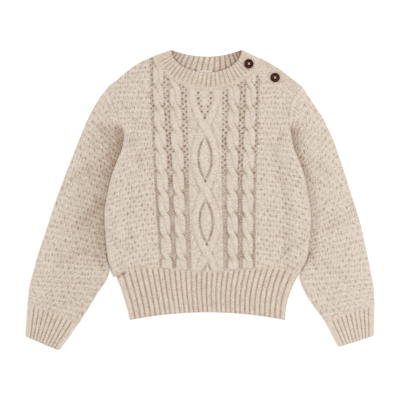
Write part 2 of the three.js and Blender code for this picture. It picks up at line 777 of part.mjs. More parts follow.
const labelSolid = new THREE.BoxGeometry(LABEL.width, LABEL.height, LABEL.thickness);
addPiece("neck_label", labelSolid, LABEL_WHITE, [LABEL.x, LABEL.y, WALL + SEAM_GAP + LABEL.thickness / 2]);

export default sweater;
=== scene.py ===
# %% [markdown]
# # A child's cable knit sweater, laid flat
# The sweater lies on its back on a pale surface and is seen from straight above. It is made of
# the pieces that a maker would knit and join: two body panels, two sleeves, ribbed cuffs and hem,
# a ribbed neckband and a buttoned shoulder. The solids from the CAD model are loaded first, as a
# fixed frame, and each fine piece here is knitted over its own solid.

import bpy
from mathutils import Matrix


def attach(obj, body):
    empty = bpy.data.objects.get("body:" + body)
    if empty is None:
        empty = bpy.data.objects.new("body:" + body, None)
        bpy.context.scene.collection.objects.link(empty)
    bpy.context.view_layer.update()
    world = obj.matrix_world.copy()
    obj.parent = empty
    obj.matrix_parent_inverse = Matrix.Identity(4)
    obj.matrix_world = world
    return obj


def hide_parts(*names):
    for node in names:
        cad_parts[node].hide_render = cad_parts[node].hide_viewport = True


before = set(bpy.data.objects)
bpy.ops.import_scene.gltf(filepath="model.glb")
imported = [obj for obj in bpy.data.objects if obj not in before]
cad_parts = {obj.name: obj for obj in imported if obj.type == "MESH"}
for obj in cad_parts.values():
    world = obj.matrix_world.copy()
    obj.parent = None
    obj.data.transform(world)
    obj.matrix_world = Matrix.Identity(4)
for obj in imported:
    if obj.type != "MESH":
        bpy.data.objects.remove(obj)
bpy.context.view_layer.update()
print("solids in the frame:", len(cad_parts))

# %% Tools and units
import math

import bmesh
import bpy
import numpy as np
from mathutils import Matrix

MM = 0.001
TURN = 2 * math.pi


def mix(a, b, t):
    return a + (b - a) * t


def smooth(t):
    t = np.clip(t, 0, 1)
    return t * t * (3 - 2 * t)


def hump(distance, half):
    """A soft rounded hill: 1 in the middle and 0 from `half` outwards."""
    return np.clip(1 - (distance / half) ** 2, 0, 1) ** 2


def from_ends(share):
    """A share of the way along, counted from the nearer end."""
    return np.minimum(share, 1 - share)


def add_object(name, data):
    made = bpy.data.objects.new(name, data)
    bpy.context.scene.collection.objects.link(made)
    return made


print("one unit in this script's tables is", MM, "metres")

# %% [markdown]
# ## The sizes that the solids were cut by
# Real knitting starts with a chart of widths. The tables below are that chart, in millimetres,
# seen from above: the body's two edges at each height, the cables' place in it, the outline of
# the shoulders and the folds of the sleeves. They are read with a smooth curve through their rows,
# so that a few rows give a soft outline.

# %% Layers of cloth and the body's chart
# thickness of the cloth, underside of the front, top of both layers
WALL, UPPER_Z, STACK = 3.0, 4.2, 7.2
MIDDLE_Z = STACK / 2
# how far in an edge is rounded, how far its face falls and how far its underside sinks
EDGE_REACH, EDGE_DROP, EDGE_SINK = 5.0, 1.4, 0.9
# height, left edge, right edge
BODY_EDGES = np.array([
    (182, -150, 162.3), (163, -142.8, 149.5), (150, -138.1, 144.5), (135, -132.8, 142.5),
    (120, -127.4, 144), (106, -122.8, 147.5), (83, -124.2, 149.5), (61, -133, 158.7),
    (37, -141.6, 166.7), (-1, -150, 174), (-23, -152.7, 177), (-55, -151.1, 175.4),
    (-90, -147.5, 171), (-111, -143, 164), (-121, -138.3, 156.5),
])
# height, middle of the cables, and how far the inner, second and outer gutters lie from it
CABLE_BLOCK = np.array([
    (172, 7.3, 33, 61.5, 87), (71, 8, 30.5, 57, 83),
    (23, 8.4, 30.3, 55.5, 80.5), (-97, 11.6, 29.5, 53, 75.8),
])
HALF_CHART = 165.0
GUTTERS = (30.5, 56.0, 81.0)


def read_table(keys, values, at):
    """A smooth curve through a table's rows."""
    order = np.argsort(keys)
    k, v = keys[order], values[order]
    rows = np.arange(len(k))
    after, before = np.minimum(rows + 1, len(k) - 1), np.maximum(rows - 1, 0)
    slope = (v[after] - v[before]) / (k[after] - k[before])
    at = np.clip(at, k[0], k[-1])
    i = np.clip(np.searchsorted(k, at, side="right") - 1, 0, len(k) - 2)
    span = k[i + 1] - k[i]
    t = (at - k[i]) / span
    bend = (slope[i] * (1 - t) - slope[i + 1] * t) * span * t * (1 - t)
    return mix(v[i], v[i + 1], smooth(t)) + bend


def left_edge(y):
    return read_table(BODY_EDGES[:, 0], BODY_EDGES[:, 1], y)


def right_edge(y):
    return read_table(BODY_EDGES[:, 0], BODY_EDGES[:, 2], y)


def body_x(chart, y):
    """Where a column of the chart lies across the body at a height."""
    middle, inner, second, outer = (
        read_table(CABLE_BLOCK[:, 0], CABLE_BLOCK[:, k], y) for k in (1, 2, 3, 4)
    )
    places = [left_edge(y), middle - outer, middle - second, middle - inner,
              middle + inner, middle + second, middle + outer, right_edge(y)]
    columns = [-HALF_CHART, *(-g for g in GUTTERS[::-1]), *GUTTERS, HALF_CHART]
    x = places[0]
    for k in range(len(columns) - 1):
        share = np.clip((chart - columns[k]) / (columns[k + 1] - columns[k]), 0, 1)
        x = x + (places[k + 1] - places[k]) * share
    return x


print("body width at the underarm:", round(float(right_edge(100) - left_edge(100)), 1), "mm")

# %% Neck and shoulders
NECK = (12.0, 240.0)
NECK_CLEAR = -0.3
NECK_ENDS = {"inner": ((-45.5, 240), (66, 240)), "outer": ((-70.5, 231), (98.5, 225))}
FRONT_NECK = {"inner": 36.0, "outer": 64.0, "bend": 1, "ribs": 28}
BACK_NECK = {"inner": 10.4, "outer": 40.0, "bend": 2, "ribs": 21}
LEFT_SHOULDER = np.array([
    (-148.8, 177.8), (-145, 182), (-132.4, 191.4), (-110, 210.2), (-94, 220.6), (-70.5, 231),
])
BAND_SHOULDER_END, BAND_ARM_END = np.array([162, 182.0]), np.array([149.3, 163.2])
BAND_NECK_LOW = np.array([84.5, 203.0])
BAND_BOW, UNDERLAP = 2.0, 1.2


class NeckEdge:
    """One edge of the neckband: half an oval, or a flatter bow, between its two shoulder ends."""

    def __init__(self, depth, ends, bend=1):
        (left_x, left_y), (right_x, right_y) = ends
        self.depth, self.bend = depth, bend
        self.left_turn = math.asin((NECK[1] - left_y) / depth)
        self.right_turn = math.asin((NECK[1] - right_y) / depth)
        self.left_half = (NECK[0] - left_x) / math.cos(self.left_turn)
        self.right_half = (right_x - NECK[0]) / math.cos(self.right_turn)

    def at(self, s):
        turn = mix(self.left_turn, math.pi - self.right_turn, s)
        across = -np.cos(turn)
        half = np.where(across < 0, self.left_half, self.right_half)
        return NECK[0] + across * half, NECK[1] - self.depth * np.sin(turn) ** self.bend

    def y_at(self, x, grow):
        half = np.where(x < NECK[0], self.left_half, self.right_half) + grow
        rise = np.sqrt(np.clip(1 - ((x - NECK[0]) / half) ** 2, 0, 1))
        return NECK[1] - (self.depth + grow) * rise


front_neckline = NeckEdge(FRONT_NECK["outer"], NECK_ENDS["outer"])
back_neckline = NeckEdge(BACK_NECK["outer"], NECK_ENDS["outer"])


def band_line(x):
    slope = (BAND_ARM_END[1] - BAND_NECK_LOW[1]) / (BAND_ARM_END[0] - BAND_NECK_LOW[0])
    return BAND_NECK_LOW[1] + slope * (x - BAND_NECK_LOW[0])


def top_line(x, neckline):
    shoulder = read_table(LEFT_SHOULDER[:, 0], LEFT_SHOULDER[:, 1], x)
    neck = neckline.y_at(x, NECK_CLEAR)
    right = np.minimum(neck, band_line(x))
    edge = NECK_ENDS["outer"][0][0] - NECK_CLEAR
    return np.where(x < edge, shoulder, np.where(x < NECK[0], neck, right))


print("front neckline is", round(float(NECK[1] - front_neckline.y_at(12.0, 0))), "mm deep")

# %% Hem seam and the body's plan
HEM_X, HEM_BOTTOM_HALF, HEM_TOP_HALF, HEM_FLARE = 11.6, 124.2, 145.5, 1.6
HEM_TOP_Y, HEM_BOTTOM_Y, HEM_RIBS = -113.6, -179.4, 32
HEM_LEAN, HEM_BOW, HEM_SAG, HEM_CLEAR = 0.6, 1.8, 12.4, -0.25


def hem_top(s):
    return HEM_TOP_Y + 20 * s ** 2 - 26.4 * s ** 6


def hem_bottom(s):
    return HEM_BOTTOM_Y - HEM_SAG * s ** 2


def hem_shift(v):
    """How far each height of the hem is pulled aside."""
    return HEM_LEAN * (1 - v) - HEM_BOW * np.sin(math.pi * v)


class BodyPlan:
    """The outline of a body panel: chart column and share of the height give the place."""

    def __init__(self, neckline):
        self.neckline = neckline

    def ends(self, chart):
        top = np.full(np.shape(chart), NECK[1] - FRONT_NECK["outer"])
        for _ in range(12):
            top = mix(top, top_line(body_x(chart, top), self.neckline), 0.6)
        bottom = np.full(np.shape(chart), hem_top(0.0))
        for _ in range(6):
            bottom = hem_top((body_x(chart, bottom) - HEM_X) / HEM_TOP_HALF)
        return bottom, top

    def place(self, chart, v):
        bottom, top = self.ends(chart)
        y = mix(bottom, top, v)
        return body_x(chart, y), y, bottom


# the height of the climb, the width of its level strip and the width of the slope behind it
STRIP_HEIGHT, STRIP_REACH, STRIP_SLOPE = STACK + 0.6, 21.0, 21.0


def climb(x, y):
    """How high the body's side margins ride up on the sleeves that lie under them."""
    side = np.minimum(x - left_edge(y), right_edge(y) - x)
    across = 1 - smooth((side - STRIP_REACH) / STRIP_SLOPE)
    return STRIP_HEIGHT * across * smooth((104 - y) / 25) * smooth((y + 111) / 19)


def edge_fall(distance):
    return (1 - np.clip(distance / EDGE_REACH, 0, 1)) ** 2


front_plan, back_plan = BodyPlan(front_neckline), BodyPlan(back_neckline)
print("the body's sides climb", STRIP_HEIGHT, "mm onto the sleeves")

# %% [markdown]
# ## Knitting as heights
# A knitted fabric is a relief of loops. Near enough, each stitch pattern is a height over the
# cloth: double moss stitch is a brick pattern of tall bumps and tall pits, a cable is two round
# strands that swap sides, and the purl gutters between cables are ladders of small rungs.
# Written as functions of the place on the chart, the same stitches can cover any piece. A little
# seeded wandering keeps them from looking printed.

# %% Seeded wandering
def wander(x, y, size, seed):
    """Smooth random values from -1 to 1 that change over about `size` millimetres."""
    table = np.random.default_rng(seed).uniform(-1, 1, (64, 64))
    i, j = np.floor(x / size).astype(int), np.floor(y / size).astype(int)
    fi, fj = smooth(x / size - i), smooth(y / size - j)
    low = mix(table[i % 64, j % 64], table[(i + 1) % 64, j % 64], fi)
    high = mix(table[i % 64, (j + 1) % 64], table[(i + 1) % 64, (j + 1) % 64], fi)
    return mix(low, high, fj)


# %% Moss stitch
# width and height of one repeat, and the slant of its rows beside the cables
MOSS_WIDE, MOSS_HIGH, MOSS_TILT = 9.5, 16.3, 0.17


def moss(across, along, seed, strength=1.0):
    """Height of double moss stitch, and the shade painted into its tall pits and along its rows and
    columns.
    """
    a = across + 1.3 * wander(across, along, 8, seed)
    b = along + 1.4 * wander(across, along, 9, seed + 1)
    level = np.cos(TURN * a / MOSS_WIDE) * np.cos(TURN * b / MOSS_HIGH)
    rows = 0.5 + 0.5 * np.cos(2 * TURN * b / MOSS_HIGH)
    uneven = np.clip(0.8 + 0.35 * wander(across, along, 5, seed + 2), 0, 1.3)
    depth = np.clip(uneven + 0.22 * wander(across, along, 2.6, seed + 3), 0, 1.4)
    pits = np.clip(-level, 0, 1) * strength
    columns = (0.5 + 0.5 * np.cos(2 * TURN * a / MOSS_WIDE)) ** 2
    dark = 0.48 * pits * (0.3 + 0.7 * columns) + 0.16 * rows + 0.22 * columns * (0.5 + 0.5 * rows)
    return (0.4 * level * strength - 0.3 * rows - 0.25 * columns) * uneven, dark * depth


# %% Rope cables
ROPE_PITCH, ROPE_CROSSING, ROPE_SWING, ROPE_HALF = 34.2, 12.0, 4.1, 5.6
CABLE_RISE = 2.3


def strand(offset, half):
    return np.clip(1 - (offset / half) ** 2, 0, 1) ** 0.6


def rope(offset, y):
    """Two strands that swap sides; the one that comes from the upper left lies on top."""
    turn = math.pi * (y - ROPE_CROSSING) / ROPE_PITCH
    swing = np.tanh(1.7 * np.sin(turn)) / math.tanh(1.7) * ROPE_SWING
    crossing = np.cos(turn) ** 2
    side = np.where(np.cos(turn) > 0, -1, 1)
    half = (ROPE_HALF - 0.9 * smooth((y - 100) / 40)) * (1 + 0.12 * crossing)
    over = strand(offset - side * swing, half) * (CABLE_RISE + 0.45 * crossing)
    beneath = strand(offset + side * swing, half) * (CABLE_RISE - 1.2 * crossing)
    between = strand(offset, 8.9 - 0.6 * crossing) * (CABLE_RISE - 1.0)
    edge = np.abs(offset - side * swing) - half
    line = hump(edge - 0.4, 2.0) * crossing ** 0.7 * smooth((9.5 - np.abs(offset)) / 2)
    # the second value is shade painted along the groove where the strands cross
    return np.maximum(np.maximum(over, beneath), between) - 0.3 * line, 0.2 * line


# %% Crossing diamonds
DIAMOND_PITCH, DIAMOND_CROSSING, DIAMOND_SWING = 101.0, 16.0, 17.5
RUNG_PITCH = ROPE_PITCH / 8


def diamond(offset, y):
    """Two strands that open into long lenses and cross between them, with purl grooves inside."""
    turn = math.pi * (y - DIAMOND_CROSSING) / DIAMOND_PITCH
    swing = DIAMOND_SWING * np.sin(turn)
    near = np.cos(turn) ** 6
    half = 5.9 + 2.3 * near
    side = np.where(np.cos(turn) > 0, -1, 1)
    over = strand(offset - side * swing, half) * (CABLE_RISE + 0.7 * near)
    beneath = strand(offset + side * swing, half) * (CABLE_RISE - 1.5 * near)
    rise = np.maximum(over, beneath)
    inside = np.abs(swing) - half - np.abs(offset)
    open_lens = smooth((np.abs(swing) - half - 1) / 4)
    rungs = 0.75 + 0.25 * np.cos(TURN * (y / RUNG_PITCH + offset / 9))
    rungs = rungs * (0.85 + 0.25 * wander(offset, y, 6, 43))
    groove = hump(inside - 1.2, 3.6) * open_lens * rungs
    pits = np.clip(np.cos(TURN * offset / 9.2) * np.cos(TURN * y / RUNG_PITCH / 2), 0, 1)
    wide = hump(inside - 2.6, 6.5) * open_lens * (0.15 + 1.2 * pits)
    groove = mix(groove, wide, smooth((y - 130) / 10))
    outside = np.abs(offset) - np.abs(swing) - half
    ladder = smooth((outside - 2) / 3) * rungs
    outer_groove = hump(outside - 0.5, 2.2) * (0.15 + 0.5 * near) * rungs
    bottom = (y - DIAMOND_CROSSING + DIAMOND_PITCH / 2) % DIAMOND_PITCH - DIAMOND_PITCH / 2 - 14.5
    hole = hump(np.hypot(offset / 0.55, bottom), 4.2)
    # painted shade in the inner and outer grooves, on the ladder and in the hole by each crossing
    dark = np.maximum(np.maximum(0.55 * groove, 0.38 * outer_groove), 0.85 * hole) + 0.1 * ladder
    return rise - 1.2 * groove - 0.5 * outer_groove - 1.2 * hole, dark


# %% Purl ground and the whole front
PURL_WIDE, DIAMOND_GROUND = 9.2, 26.5


def purl(chart, y):
    """Height of the purl gutters and the shade painted into them: open pits near the neck, slanted rungs
    lower down.
    """
    far = np.abs(chart)
    nearest = np.where(far < 43, GUTTERS[0] - 0.7, np.where(far < 68, GUTTERS[1], GUTTERS[2] - 1))
    offset = chart - np.sign(chart) * nearest
    drift = 0.16 * wander(chart, y, 9, 41)
    across = offset / PURL_WIDE + 0.25 + drift
    pits = np.clip(np.cos(TURN * across) * np.cos(TURN * (y / RUNG_PITCH / 2 + drift)), 0, 1) ** 1.3
    rungs = (0.5 + 0.5 * np.cos(TURN * (y / RUNG_PITCH + offset / 8 + drift))) ** 1.3
    upper = smooth((y - 10) / 60)
    uneven = np.clip(0.85 + 0.4 * wander(chart, y, 11, 42), 0, 1.2)
    dark = mix(0.2 + 0.36 * rungs, 0.14 + 1.15 * pits, upper) * uneven
    return -0.9 - 0.7 * dark, dark


def cable_relief(chart, y):
    """Height of the cable block, the shade painted into its hollows, and where it is plain knitting."""
    far = np.abs(chart)
    block = 1 - smooth((far - GUTTERS[2] + 0.5) / 3)
    ground, shade = purl(chart, y)
    ropes, lines = np.zeros(far.shape), np.zeros(far.shape)
    for near, wide in ((GUTTERS[0], GUTTERS[1]), (GUTTERS[1], GUTTERS[2])):
        offset = chart - np.sign(chart) * (near + wide) / 2
        within, (height, line) = (far >= near) & (far < wide), rope(offset, y)
        ropes, lines = np.where(within, height, ropes), np.where(within, line, lines)
    covered = smooth(ropes / 1.4)
    rise, dark = mix(ground, ropes, covered), mix(shade, lines, covered)
    lens, grooves = diamond(chart, y)
    inner = 1 - smooth((far - DIAMOND_GROUND + 1) / 2)
    return mix(rise, lens + 0.3, inner), mix(dark, grooves, inner), block


print("stitches charted: moss, rope cables, crossing diamonds, purl gutters")

# %% Ribbing
def ribbing(place, ribs):
    """Round ridges with soft grooves between them, with shade painted into the grooves."""
    ridge = np.abs(np.sin(math.pi * place * ribs))
    groove = (1 - ridge) ** 1.6
    return -1.3 * groove, 0.5 * groove


print("ribs are broad ridges with narrow grooves")

# %% Soft creases
def creases(x, y, lines):
    """Depth of soft troughs: each is a line with its half width and its depth."""
    total = 0 * x
    for x0, y0, x1, y1, half, depth in lines:
        along_x, along_y = x1 - x0, y1 - y0
        length = np.hypot(along_x, along_y)
        share = np.clip(((x - x0) * along_x + (y - y0) * along_y) / length ** 2, 0, 1)
        away = np.hypot(x - x0 - share * along_x, y - y0 - share * along_y)
        total = total + depth * hump(away, half)
    return total


print("creases are soft troughs, each with its own half width and depth")

# %% [markdown]
# ## From heights to closed pieces
# Two kinds of piece are needed. A panel has a finely knitted face, a thin side wall and a plain
# back. A tube, such as a sleeve, is wrapped round and has a plain inside. Both start flat: bmesh
# makes the grids, extrudes the border and bridges the loops, and only then does each point move to
# its place on the sweater. Modelling the flat pattern first keeps every piece closed, and the flat
# pattern also serves as the UV map, so that yarn follows the cloth.

# %% Shading hollows
# shade for each millimetre of hollow, on plain undersides, inside tubes and under other cloth
HOLLOW_SHADE, UNSEEN_SHADE, INSIDE_SHADE, COVERED_SHADE = 0.3, 0.12, 0.3, 0.15


def settle(z, passes):
    """Heights blurred a little in both directions."""
    for _ in range(passes):
        for axis in (0, 1):
            edge = np.concatenate([np.take(z, [0], axis), z, np.take(z, [-1], axis)], axis)
            count = z.shape[axis]
            z = (np.take(edge, range(count), axis) + 2 * z
                 + np.take(edge, range(2, count + 2), axis)) / 4
    return z


def hollows(z):
    """How far each point lies below the cloth round it, in millimetres."""
    return np.clip(settle(z, 14) - z, 0, None)


# %% Finishing a mesh
def write_piece(name, bm, place, knit, hollow, plain):
    """Moves a flat pattern's points into place and gives the piece its UV map and attributes."""
    mesh = bpy.data.meshes.new(name)
    bm.to_mesh(mesh)
    bm.free()
    mesh.vertices.foreach_set("co", (place * MM).astype(np.float32).ravel())
    # the hollow attribute carries the shade that is painted into the yarn's colour
    for title, values in (("hollow", hollow), ("plain", plain)):
        layer = mesh.attributes.new(title, "FLOAT", "POINT")
        layer.data.foreach_set("value", values.astype(np.float32))
    corners = np.zeros(len(mesh.loops), np.int32)
    mesh.loops.foreach_get("vertex_index", corners)
    uv = mesh.uv_layers.new(name="knit")
    uv.data.foreach_set("uv", (knit * MM).astype(np.float32)[corners].ravel())
    mesh.update()
    return mesh


def close_piece(name, mesh, weld=None):
    """Welds a tube's seam, turns all faces outwards and links the piece to the scene."""
    bm = bmesh.new()
    bm.from_mesh(mesh)
    if weld is not None:
        bm.verts.ensure_lookup_table()
        bmesh.ops.remove_doubles(bm, verts=[bm.verts[k] for k in weld], dist=0.00001)
    bmesh.ops.recalc_face_normals(bm, faces=bm.faces)
    loose = sum(1 for e in bm.edges if not e.is_manifold)
    for face in bm.faces:
        face.smooth = True
    bm.to_mesh(mesh)
    triangles = sum(len(f.verts) - 2 for f in bm.faces)
    bm.free()
    print(name, triangles, "triangles, open edges:", loose)
    return add_object(name, mesh)


# %% A knitted panel
def flat_pattern(columns, rows, back_columns, back_rows):
    """A closed panel in pattern space: the face is at level 1 and the back at level 0."""
    bm = bmesh.new()
    half = bmesh.ops.create_grid(bm, x_segments=columns, y_segments=rows, size=0.5)
    bmesh.ops.translate(bm, verts=half["verts"], vec=(0.5, 0.5, 1))
    rim = [e for e in bm.edges if e.is_boundary]
    wall = bmesh.ops.extrude_edge_only(bm, edges=rim)["geom"]
    low = [v for v in wall if isinstance(v, bmesh.types.BMVert)]
    bmesh.ops.translate(bm, verts=low, vec=(0, 0, -1))
    low_rim = [e for e in wall if isinstance(e, bmesh.types.BMEdge) and e.is_boundary]
    back = bmesh.ops.create_grid(bm, x_segments=back_columns, y_segments=back_rows, size=0.485)
    bmesh.ops.translate(bm, verts=back["verts"], vec=(0.5, 0.5, 0))
    back_rim = [e for e in {e for v in back["verts"] for e in v.link_edges} if e.is_boundary]
    bmesh.ops.triangle_fill(bm, use_beauty=True, edges=low_rim + back_rim, normal=(0, 0, -1))
    return bm


def knit_panel(name, size, back_size, plan, face, under):
    """plan(u, v) gives x, y and the knit coordinates; face and under give heights."""
    columns, rows = size
    bm = flat_pattern(columns, rows, *back_size)
    flat = np.array([v.co for v in bm.verts])
    u, v, on_face = flat[:, 0], flat[:, 1], flat[:, 2] > 0.5
    grid_u, grid_v = np.meshgrid(np.linspace(0, 1, columns + 1), np.linspace(0, 1, rows + 1))
    x, y, across, along = plan(grid_u, grid_v)
    z, dark, plain = face(x, y, grid_u, grid_v, across, along)
    dark = np.clip(dark + HOLLOW_SHADE * hollows(z), 0, 1)
    i = np.rint(v * rows).astype(int)
    j = np.rint(u * columns).astype(int)
    bx, by, b_across, b_along = plan(u, v)
    bz = under(bx, by, u, v)
    pick = lambda fine, coarse: np.where(on_face, fine[i, j], coarse)
    place = np.stack([pick(x, bx), pick(y, by), pick(z, bz)], -1)
    knit = np.stack([pick(across, b_across), pick(along, b_along)], -1)
    hollow, smoothness = pick(dark, UNSEEN_SHADE), pick(plain * np.ones_like(z), 0)
    return close_piece(name, write_piece(name, bm, place, knit, hollow, smoothness))


# %% A knitted tube
def ring_places(top, fold, under):
    """Round a flattened tube: share of the way across, and turn about the fold."""
    turns = np.linspace(-math.pi / 2, math.pi / 2, fold + 1)
    share = np.concatenate([np.linspace(0.5, 0, under + 1)[:-1], np.zeros(fold + 1),
                            np.linspace(0, 1, top + 1)[1:-1], np.ones(fold + 1),
                            np.linspace(1, 0.5, under + 1)[1:]])
    turn = np.concatenate([np.full(under, turns[0]), turns, np.full(top - 1, turns[-1]),
                           turns[::-1], np.full(under, turns[0])])
    return share, turn


def knit_tube(name, ring, rows, inner_rows, plan, width_of, relief, along_of):
    """A flattened tube with a knitted outside and a plain inside, joined at both ends."""
    share, turn = ring_places(*ring)
    columns = len(share) - 1
    bm = bmesh.new()
    for level, count in ((1, rows), (0, inner_rows)):
        skin = bmesh.ops.create_grid(bm, x_segments=columns, y_segments=count, size=0.5)
        bmesh.ops.translate(bm, verts=skin["verts"], vec=(0.5, 0.5, level))
    for end in (0, 1):
        lips = [e for e in bm.edges if e.is_boundary
                and all(abs(v.co.y - end) < 1e-5 for v in e.verts)]
        bmesh.ops.bridge_loops(bm, edges=lips)
    flat = np.array([v.co for v in bm.verts])
    j, outside = np.rint(flat[:, 0] * columns).astype(int), flat[:, 2] > 0.5

    def wrap(t, s, theta, inset, rise):
        width = width_of(t)
        radius = MIDDLE_Z - inset
        upper = smooth((theta / math.pi + 0.5) * 1.6) * rise
        across = MIDDLE_Z + (width - 2 * MIDDLE_Z) * s
        across = across - (radius + upper) * np.cos(theta) * (1 - 2 * s)
        x, y = plan(t, across / width)
        z = MIDDLE_Z + (radius + np.where(theta > 0, upper, 0)) * np.sin(theta)
        return x, y, z, across - width / 2

    grid_t, grid_j = np.meshgrid(np.linspace(0, 1, rows + 1), np.arange(columns + 1), indexing="ij")
    s, theta = share[grid_j], turn[grid_j]
    x0, y0, _, across0 = wrap(grid_t, s, theta, 0, 0)
    rise, dark, plain = relief(grid_t, s, theta, x0, y0, across0)
    x, y, z, across = wrap(grid_t, s, theta, 0, rise)
    dark = np.where(theta > -1.2, np.clip(dark + HOLLOW_SHADE * hollows(rise), 0, 1), UNSEEN_SHADE)
    i = np.rint(flat[:, 1] * rows).astype(int)
    inner = wrap(flat[:, 1], share[j], turn[j], WALL, 0)
    pick = lambda fine, coarse: np.where(outside, fine[i, j], coarse)
    place = np.stack([pick(x, inner[0]), pick(y, inner[1]), pick(z, inner[2])], -1)
    under = np.where(turn[j] < -1.5, np.sign(flat[:, 0] - 0.5) * 300, 0)
    knit = np.stack([pick(across0, inner[3]) + under, along_of(flat[:, 1])], -1)
    mesh = write_piece(name, bm, place, knit, pick(dark, INSIDE_SHADE), pick(plain * np.ones_like(z), 0))
    seam = np.nonzero((flat[:, 0] < 1e-5) | (flat[:, 0] > 1 - 1e-5))[0]
    return close_piece(name, mesh, seam)


print("panel and tube makers are ready")

# %% [markdown]
# ## The front
# The front is the piece that everyone looks at: four rope cables and a column of crossing
# diamonds, with moss stitch at both sides. A displaced grid of about one millimetre suits it,
# because every stitch is then real relief that catches the light from any side. The side margins
# ride up on the sleeves, and the edges fall softly to the seams.

# %% Knit the front
FRONT_SIZE = (296, 290)
CHART_STOPS = ((0, 0.213, 0.787, 1), (-HALF_CHART, -85, 85, HALF_CHART))


def chart_of(u):
    return np.interp(u, *CHART_STOPS)


def body_pattern(plan):
    def pattern(u, v):
        chart = chart_of(u)
        x, y, bottom = plan.place(chart, v)
        rows = y - (bottom - hem_top(0.0)) * (1 - v) ** 2
        tilt = MOSS_TILT * (1 - smooth((y - 30) / 90))
        rows = rows + tilt * np.clip(np.abs(chart) - GUTTERS[2], 0, None)
        return x, y, chart, rows
    return pattern


def body_edges(plan, x, y, chart):
    bottom, top = plan.ends(chart)
    sides = np.minimum(x - left_edge(y), right_edge(y) - x)
    return sides, np.minimum(top - y, y - bottom)


# both ends' x and y, half width, depth
BODY_CREASES = [
    (-133, -124, -120, -116, 4, 1.3), (-112, 96, -96, 62, 9, 0.8), (131, 108, 120, 76, 9, 0.8),
    (-140, -62, -112, -78, 10, 0.7), (163, -58, 138, -80, 10, 0.7), (-122, 150, -104, 128, 8, 0.5),
]
ARMHOLE_TOP = 110.0


def front_face(x, y, u, v, chart, rows):
    sides, seams = body_edges(front_plan, x, y, chart)
    cables, dark, block = cable_relief(chart, y)
    bumps, pits = moss(chart, rows, 11, 0.75)
    armhole = smooth((y - ARMHOLE_TOP) / 12)
    calm = np.maximum(smooth((sides - 3) / 7), armhole)
    seam = 1 - smooth(seams / 5)
    relief = mix(bumps * (0.2 + 0.8 * calm), cables * (1 - 0.8 * seam), block)
    fall = edge_fall(sides * 0.6) * (1 - 0.85 * armhole)
    folds = creases(x, y, BODY_CREASES)
    z = STACK + climb(x, y) + relief * (1 - fall) - 1.8 * EDGE_DROP * fall - folds
    # painted shade in the moss pits, the cables' hollows and the creases
    shade = mix(0.085 + 0.85 * pits * (0.5 + 0.5 * calm), 0.06 + dark * (1 - 0.4 * seam), block)
    return z, shade + 0.14 * folds, block


def front_under(x, y, u, v):
    sides, seams = body_edges(front_plan, x, y, chart_of(u))
    return UPPER_Z + climb(x, y) - EDGE_SINK * edge_fall(np.minimum(sides, seams))


front = knit_panel("front_knit", FRONT_SIZE, (44, 44), body_pattern(front_plan), front_face,
                   front_under)

# %% [markdown]
# ## The back
# The back lies face down under the front and only its edges show, so it is a coarser panel of the
# same cut. Its underside is flat, because it rests on the surface, and its moss stitch is left to
# the yarn material.

# %% Knit the back
def back_face(x, y, u, v, chart, rows):
    return WALL + climb(x, y), np.full(x.shape, COVERED_SHADE), 0


def back_under(x, y, u, v):
    return climb(x, y)


back = knit_panel("back_knit", (110, 110), (60, 60), body_pattern(back_plan), back_face, back_under)

# %% [markdown]
# ## The sleeves
# Each sleeve is a moss stitch tube that lies flattened beside the body, with rows across its
# length. Two folds, outer and inner, are given at thirteen stations and joined by smooth curves.
# The cloth between them swells a little, and soft creases run where the arm would bend.

# %% Sleeve folds
RIGHT_SLEEVE = {  # on the left of the picture
    "outer": [(-149.3, 177.9), (-161.2, 162.4), (-172.4, 143.2), (-182, 124), (-190, 104.8),
              (-201.2, 76), (-226, 12), (-246, -48), (-254, -72), (-261, -94), (-267.5, -118),
              (-273, -140), (-275.5, -164.5)],
    "inner": [(-122.4, 106), (-122.4, 95), (-123.2, 83), (-126.5, 70), (-130.5, 55), (-131.5, 35),
              (-136, -23), (-142, -73), (-148.6, -90), (-146, -105), (-147, -122), (-164, -150),
              (-192.6, -196)],
    "cuff": [(-279.3, -217.8), (-224.6, -240.8)],
}
LEFT_SLEEVE = {  # on the right of the picture
    "outer": [(163, 182.2), (176.4, 162.4), (186.5, 147.5), (195.6, 133.6), (203, 119),
              (215.5, 91), (236.5, 28), (256, -34), (263.5, -66), (269, -92), (274, -116),
              (278, -140), (279.5, -165.5)],
    "inner": [(147.2, 106), (147.4, 95), (148.6, 83), (151, 70), (154.5, 55), (155.5, 35),
              (160, -23), (166, -73), (172.2, -90), (167.4, -105), (160.7, -122), (170.8, -152),
              (200.1, -194.4)],
    "cuff": [(278.3, -216.8), (221.6, -235.2)],
}
ARMHOLE_FADE, SEAM_CLEAR = 0.22, -0.5


def fold_curve(points):
    """A smooth curve through a fold's stations that never swings out past them."""
    p = np.array(points, float)
    ends = np.vstack([2 * p[0] - p[1], p, 2 * p[-1] - p[-2]])

    def at(t):
        s = np.clip(t, 0, 1) * (len(p) - 1)
        i = np.minimum(np.floor(s).astype(int), len(p) - 2)
        f = (s - i)[..., None]
        p0, p1, p2, p3 = (ends[i + k] for k in range(4))
        d0, d1, d2 = (np.sum((b - a) ** 2, -1, keepdims=True) ** 0.25
                      for a, b in ((p0, p1), (p1, p2), (p2, p3)))
        t1 = ((p1 - p0) / d0 - (p2 - p0) / (d0 + d1) + (p2 - p1) / d1) * d1
        t2 = ((p2 - p1) / d1 - (p3 - p1) / (d1 + d2) + (p3 - p2) / d2) * d1
        return p1 + t1 * f + (3 * (p2 - p1) - 2 * t1 - t2) * f ** 2 + (
            2 * (p1 - p2) + t1 + t2) * f ** 3

    return at


